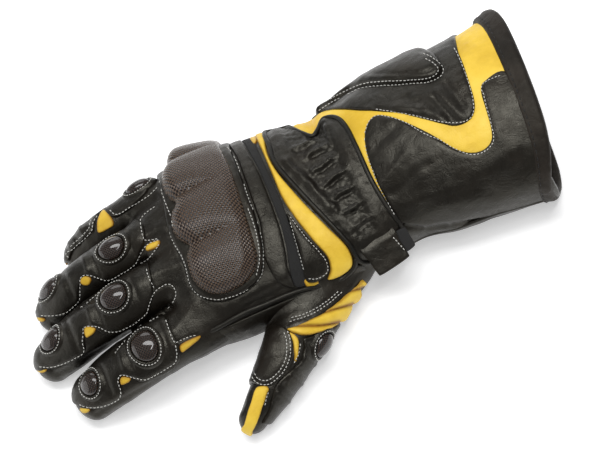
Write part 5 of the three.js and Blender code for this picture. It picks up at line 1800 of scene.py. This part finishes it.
# %% Rows of white stitches
STITCH_PITCH, STITCH_LENGTH = 2.2, 1.5
STITCH_WOBBLE = 0.05
LONGEST_STITCH = 2.0  # times its drawn length
LEAST_FACING = 0.22
RING_PITCH, RING_STITCH_LENGTH = 1.95, 1.3


def stitch_row(line):
    """Stitches dropped on the glove along a line of the drawing plane."""
    run = run_along(line)
    made = []
    at = STITCH_PITCH / 2
    while at + STITCH_LENGTH / 2 < run[-1]:
        wobble = rng.normal(0, STITCH_WOBBLE, 2)
        places = [at + sign * STITCH_LENGTH / 2 for sign in (-1, 1)]
        ends = [np.array([np.interp(place, run, line[:, k]) for k in (0, 1)]) + wobble for place in places]
        (a, na), (b, nb) = drop(ends[0]), drop(ends[1])
        if a is not None and b is not None and np.linalg.norm(b - a) < LONGEST_STITCH * STITCH_LENGTH:
            n = na + nb
            if n @ SQUARE > LEAST_FACING * np.linalg.norm(n):
                made.append(stitch(a, b, n / np.linalg.norm(n)))
        at += STITCH_PITCH * rng.uniform(0.94, 1.06)
    return made


def stitches_along(points, ways, pitch, length):
    """Stitches along a closed line of points in space."""
    points, ways = np.concatenate([points, points[:1]]), np.concatenate([ways, ways[:1]])
    run = run_along(points)
    count = int(run[-1] / pitch)
    made = []
    for at in (np.arange(count) + 0.5) * run[-1] / count:
        wanted = ((-length / 2, points), (length / 2, points), (0, ways))
        a, b, n = (np.array([np.interp(at + shift, run, column[:, k]) for k in range(3)]) for shift, column in wanted)
        made.append(stitch(a, b, n / np.linalg.norm(n)))
    return made


white = [made for line in seam_lines.values() for made in stitch_row(line)]
for line, way in slider_stitch_lines:
    white += stitches_along(line, way, RING_PITCH, RING_STITCH_LENGTH)
add_stitches("white_stitches", white, THREAD)

# %% [markdown]
# The binding is sewn through with longer black stitches, which show only as a row of dents. They run right round the cuff,
# apart from those that would lie under the table.

# %% Stitches of the binding
BINDING_SEAM_AT, BINDING_SEAM_LIFT = 9.2, 2.15
BINDING_PITCH, BINDING_STITCH_LENGTH = 4.2, 2.9
LOWEST_STITCH = 2.0
around = np.linspace(0, 2 * math.pi, 180, endpoint=False)
seam_x = np.full_like(around, TRUNK_BACK - BINDING_SEAM_AT)
seam_points = trunk_point(seam_x, around, lift=BINDING_SEAM_LIFT)
seam_ways = facing(trunk_surface.at, seam_x, around * ARC)
sewn_through = stitches_along(seam_points, seam_ways, BINDING_PITCH, BINDING_STITCH_LENGTH)
add_stitches("binding_stitches", [s for s in sewn_through if s[:, 2].min() > LOWEST_STITCH], DARK_THREAD)

# %% [markdown]
# ## Floor and light
#
# The glove is photographed on white paper under soft lamps. The floor is a plain pale plane with a faint glow of its own,
# which keeps the shadow as light as in the photograph. Four flat lamps do the rest. The key hangs overhead and makes the
# leather's broad sheen, a narrow strip makes the arcs in the sliders' lacquer, and two weak ones open up the far sides. A
# studio picture for the world would light it too, but then the gloss can't be moved to where it belongs.

# %% Floor and light
TARGET = (DRAWING_MIDDLE + SHIFT_TO_FRAME) / MM_PER_M
FLOOR_HALF, FLOOR_Z = 3.0, -0.0004
FLOOR_GLOW = 0.42
WORLD_COLOUR, WORLD_STRENGTH = (0.97, 0.98, 1.0, 1), 0.3

floor_mesh = bpy.data.meshes.new("floor")
floor_corners = [(x * FLOOR_HALF, y * FLOOR_HALF, FLOOR_Z) for x, y in ((-1, -1), (1, -1), (1, 1), (-1, 1))]
floor_mesh.from_pydata(floor_corners, [], [(0, 1, 2, 3)])
pale = plain("pale floor", (0.9, 0.9, 0.9), 0.7, 0.2)
pale.node_tree.nodes["Principled BSDF"].inputs["Emission Color"].default_value = (1, 1, 1, 1)
pale.node_tree.nodes["Principled BSDF"].inputs["Emission Strength"].default_value = FLOOR_GLOW
floor_mesh.materials.append(pale)
floor = bpy.data.objects.new("floor", floor_mesh)
bpy.context.scene.collection.objects.link(floor)


def soft_light(name, place, size, power):
    """A flat lamp turned to the glove: an ellipse of the given size in metres, and its power in watts."""
    data = bpy.data.lights.new(name, "AREA")
    data.shape, data.energy = "ELLIPSE", power
    data.size, data.size_y = size
    lamp = bpy.data.objects.new(name, data)
    lamp.location = place
    lamp.rotation_euler = (Vector(TARGET) - Vector(place)).to_track_quat("-Z", "Y").to_euler()
    bpy.context.scene.collection.objects.link(lamp)
    print(f"{name} lamp: {power} W at {place}")


soft_light("key", (0.1, 0.2, 1.5), (1.5, 0.55), 16)
soft_light("strip", (0.3, -0.42, 1.42), (0.85, 0.12), 4)
soft_light("back", (0.2, 1.7, 0.8), (1.4, 0.8), 5)
soft_light("side", (-1.5, 0.3, 0.35), (1.6, 1.0), 5)
world = bpy.data.worlds.new("studio")
world.use_nodes = True
world.node_tree.nodes["Background"].inputs["Color"].default_value = WORLD_COLOUR
world.node_tree.nodes["Background"].inputs["Strength"].default_value = WORLD_STRENGTH
bpy.context.scene.world = world

# %% [markdown]
# ## Camera
#
# The camera stands at the photograph's eye, square to the drawing plane and 1.5 m away, and is rolled so that the hand
# rises to the right. A long lens from far off keeps the fingers and the cuff nearly to one scale, as in a catalogue. Its
# three directions are worked out and written as one matrix, because two turns after one another are easily mixed up.

# %% Camera
ROLL = math.radians(27)
LENS, SENSOR_WIDTH = 150, 36
camera_data = bpy.data.cameras.new("camera")
camera_data.lens, camera_data.sensor_width = LENS, SENSOR_WIDTH
camera = bpy.data.objects.new("camera", camera_data)
back, along_hand, across_hand = Vector(SQUARE), Vector((1, 0, 0)), Vector(ACROSS)
right = math.cos(ROLL) * along_hand - math.sin(ROLL) * across_hand
up = math.sin(ROLL) * along_hand + math.cos(ROLL) * across_hand
turn = Matrix((right, up, back)).transposed().to_4x4()
camera.matrix_world = Matrix.Translation(Vector(TARGET) + EYE / MM_PER_M * back) @ turn
bpy.context.scene.collection.objects.link(camera)
bpy.context.scene.camera = camera
bpy.context.scene.view_settings.view_transform = "Standard"
print("camera at, m:", [round(v, 3) for v in camera.matrix_world.translation])
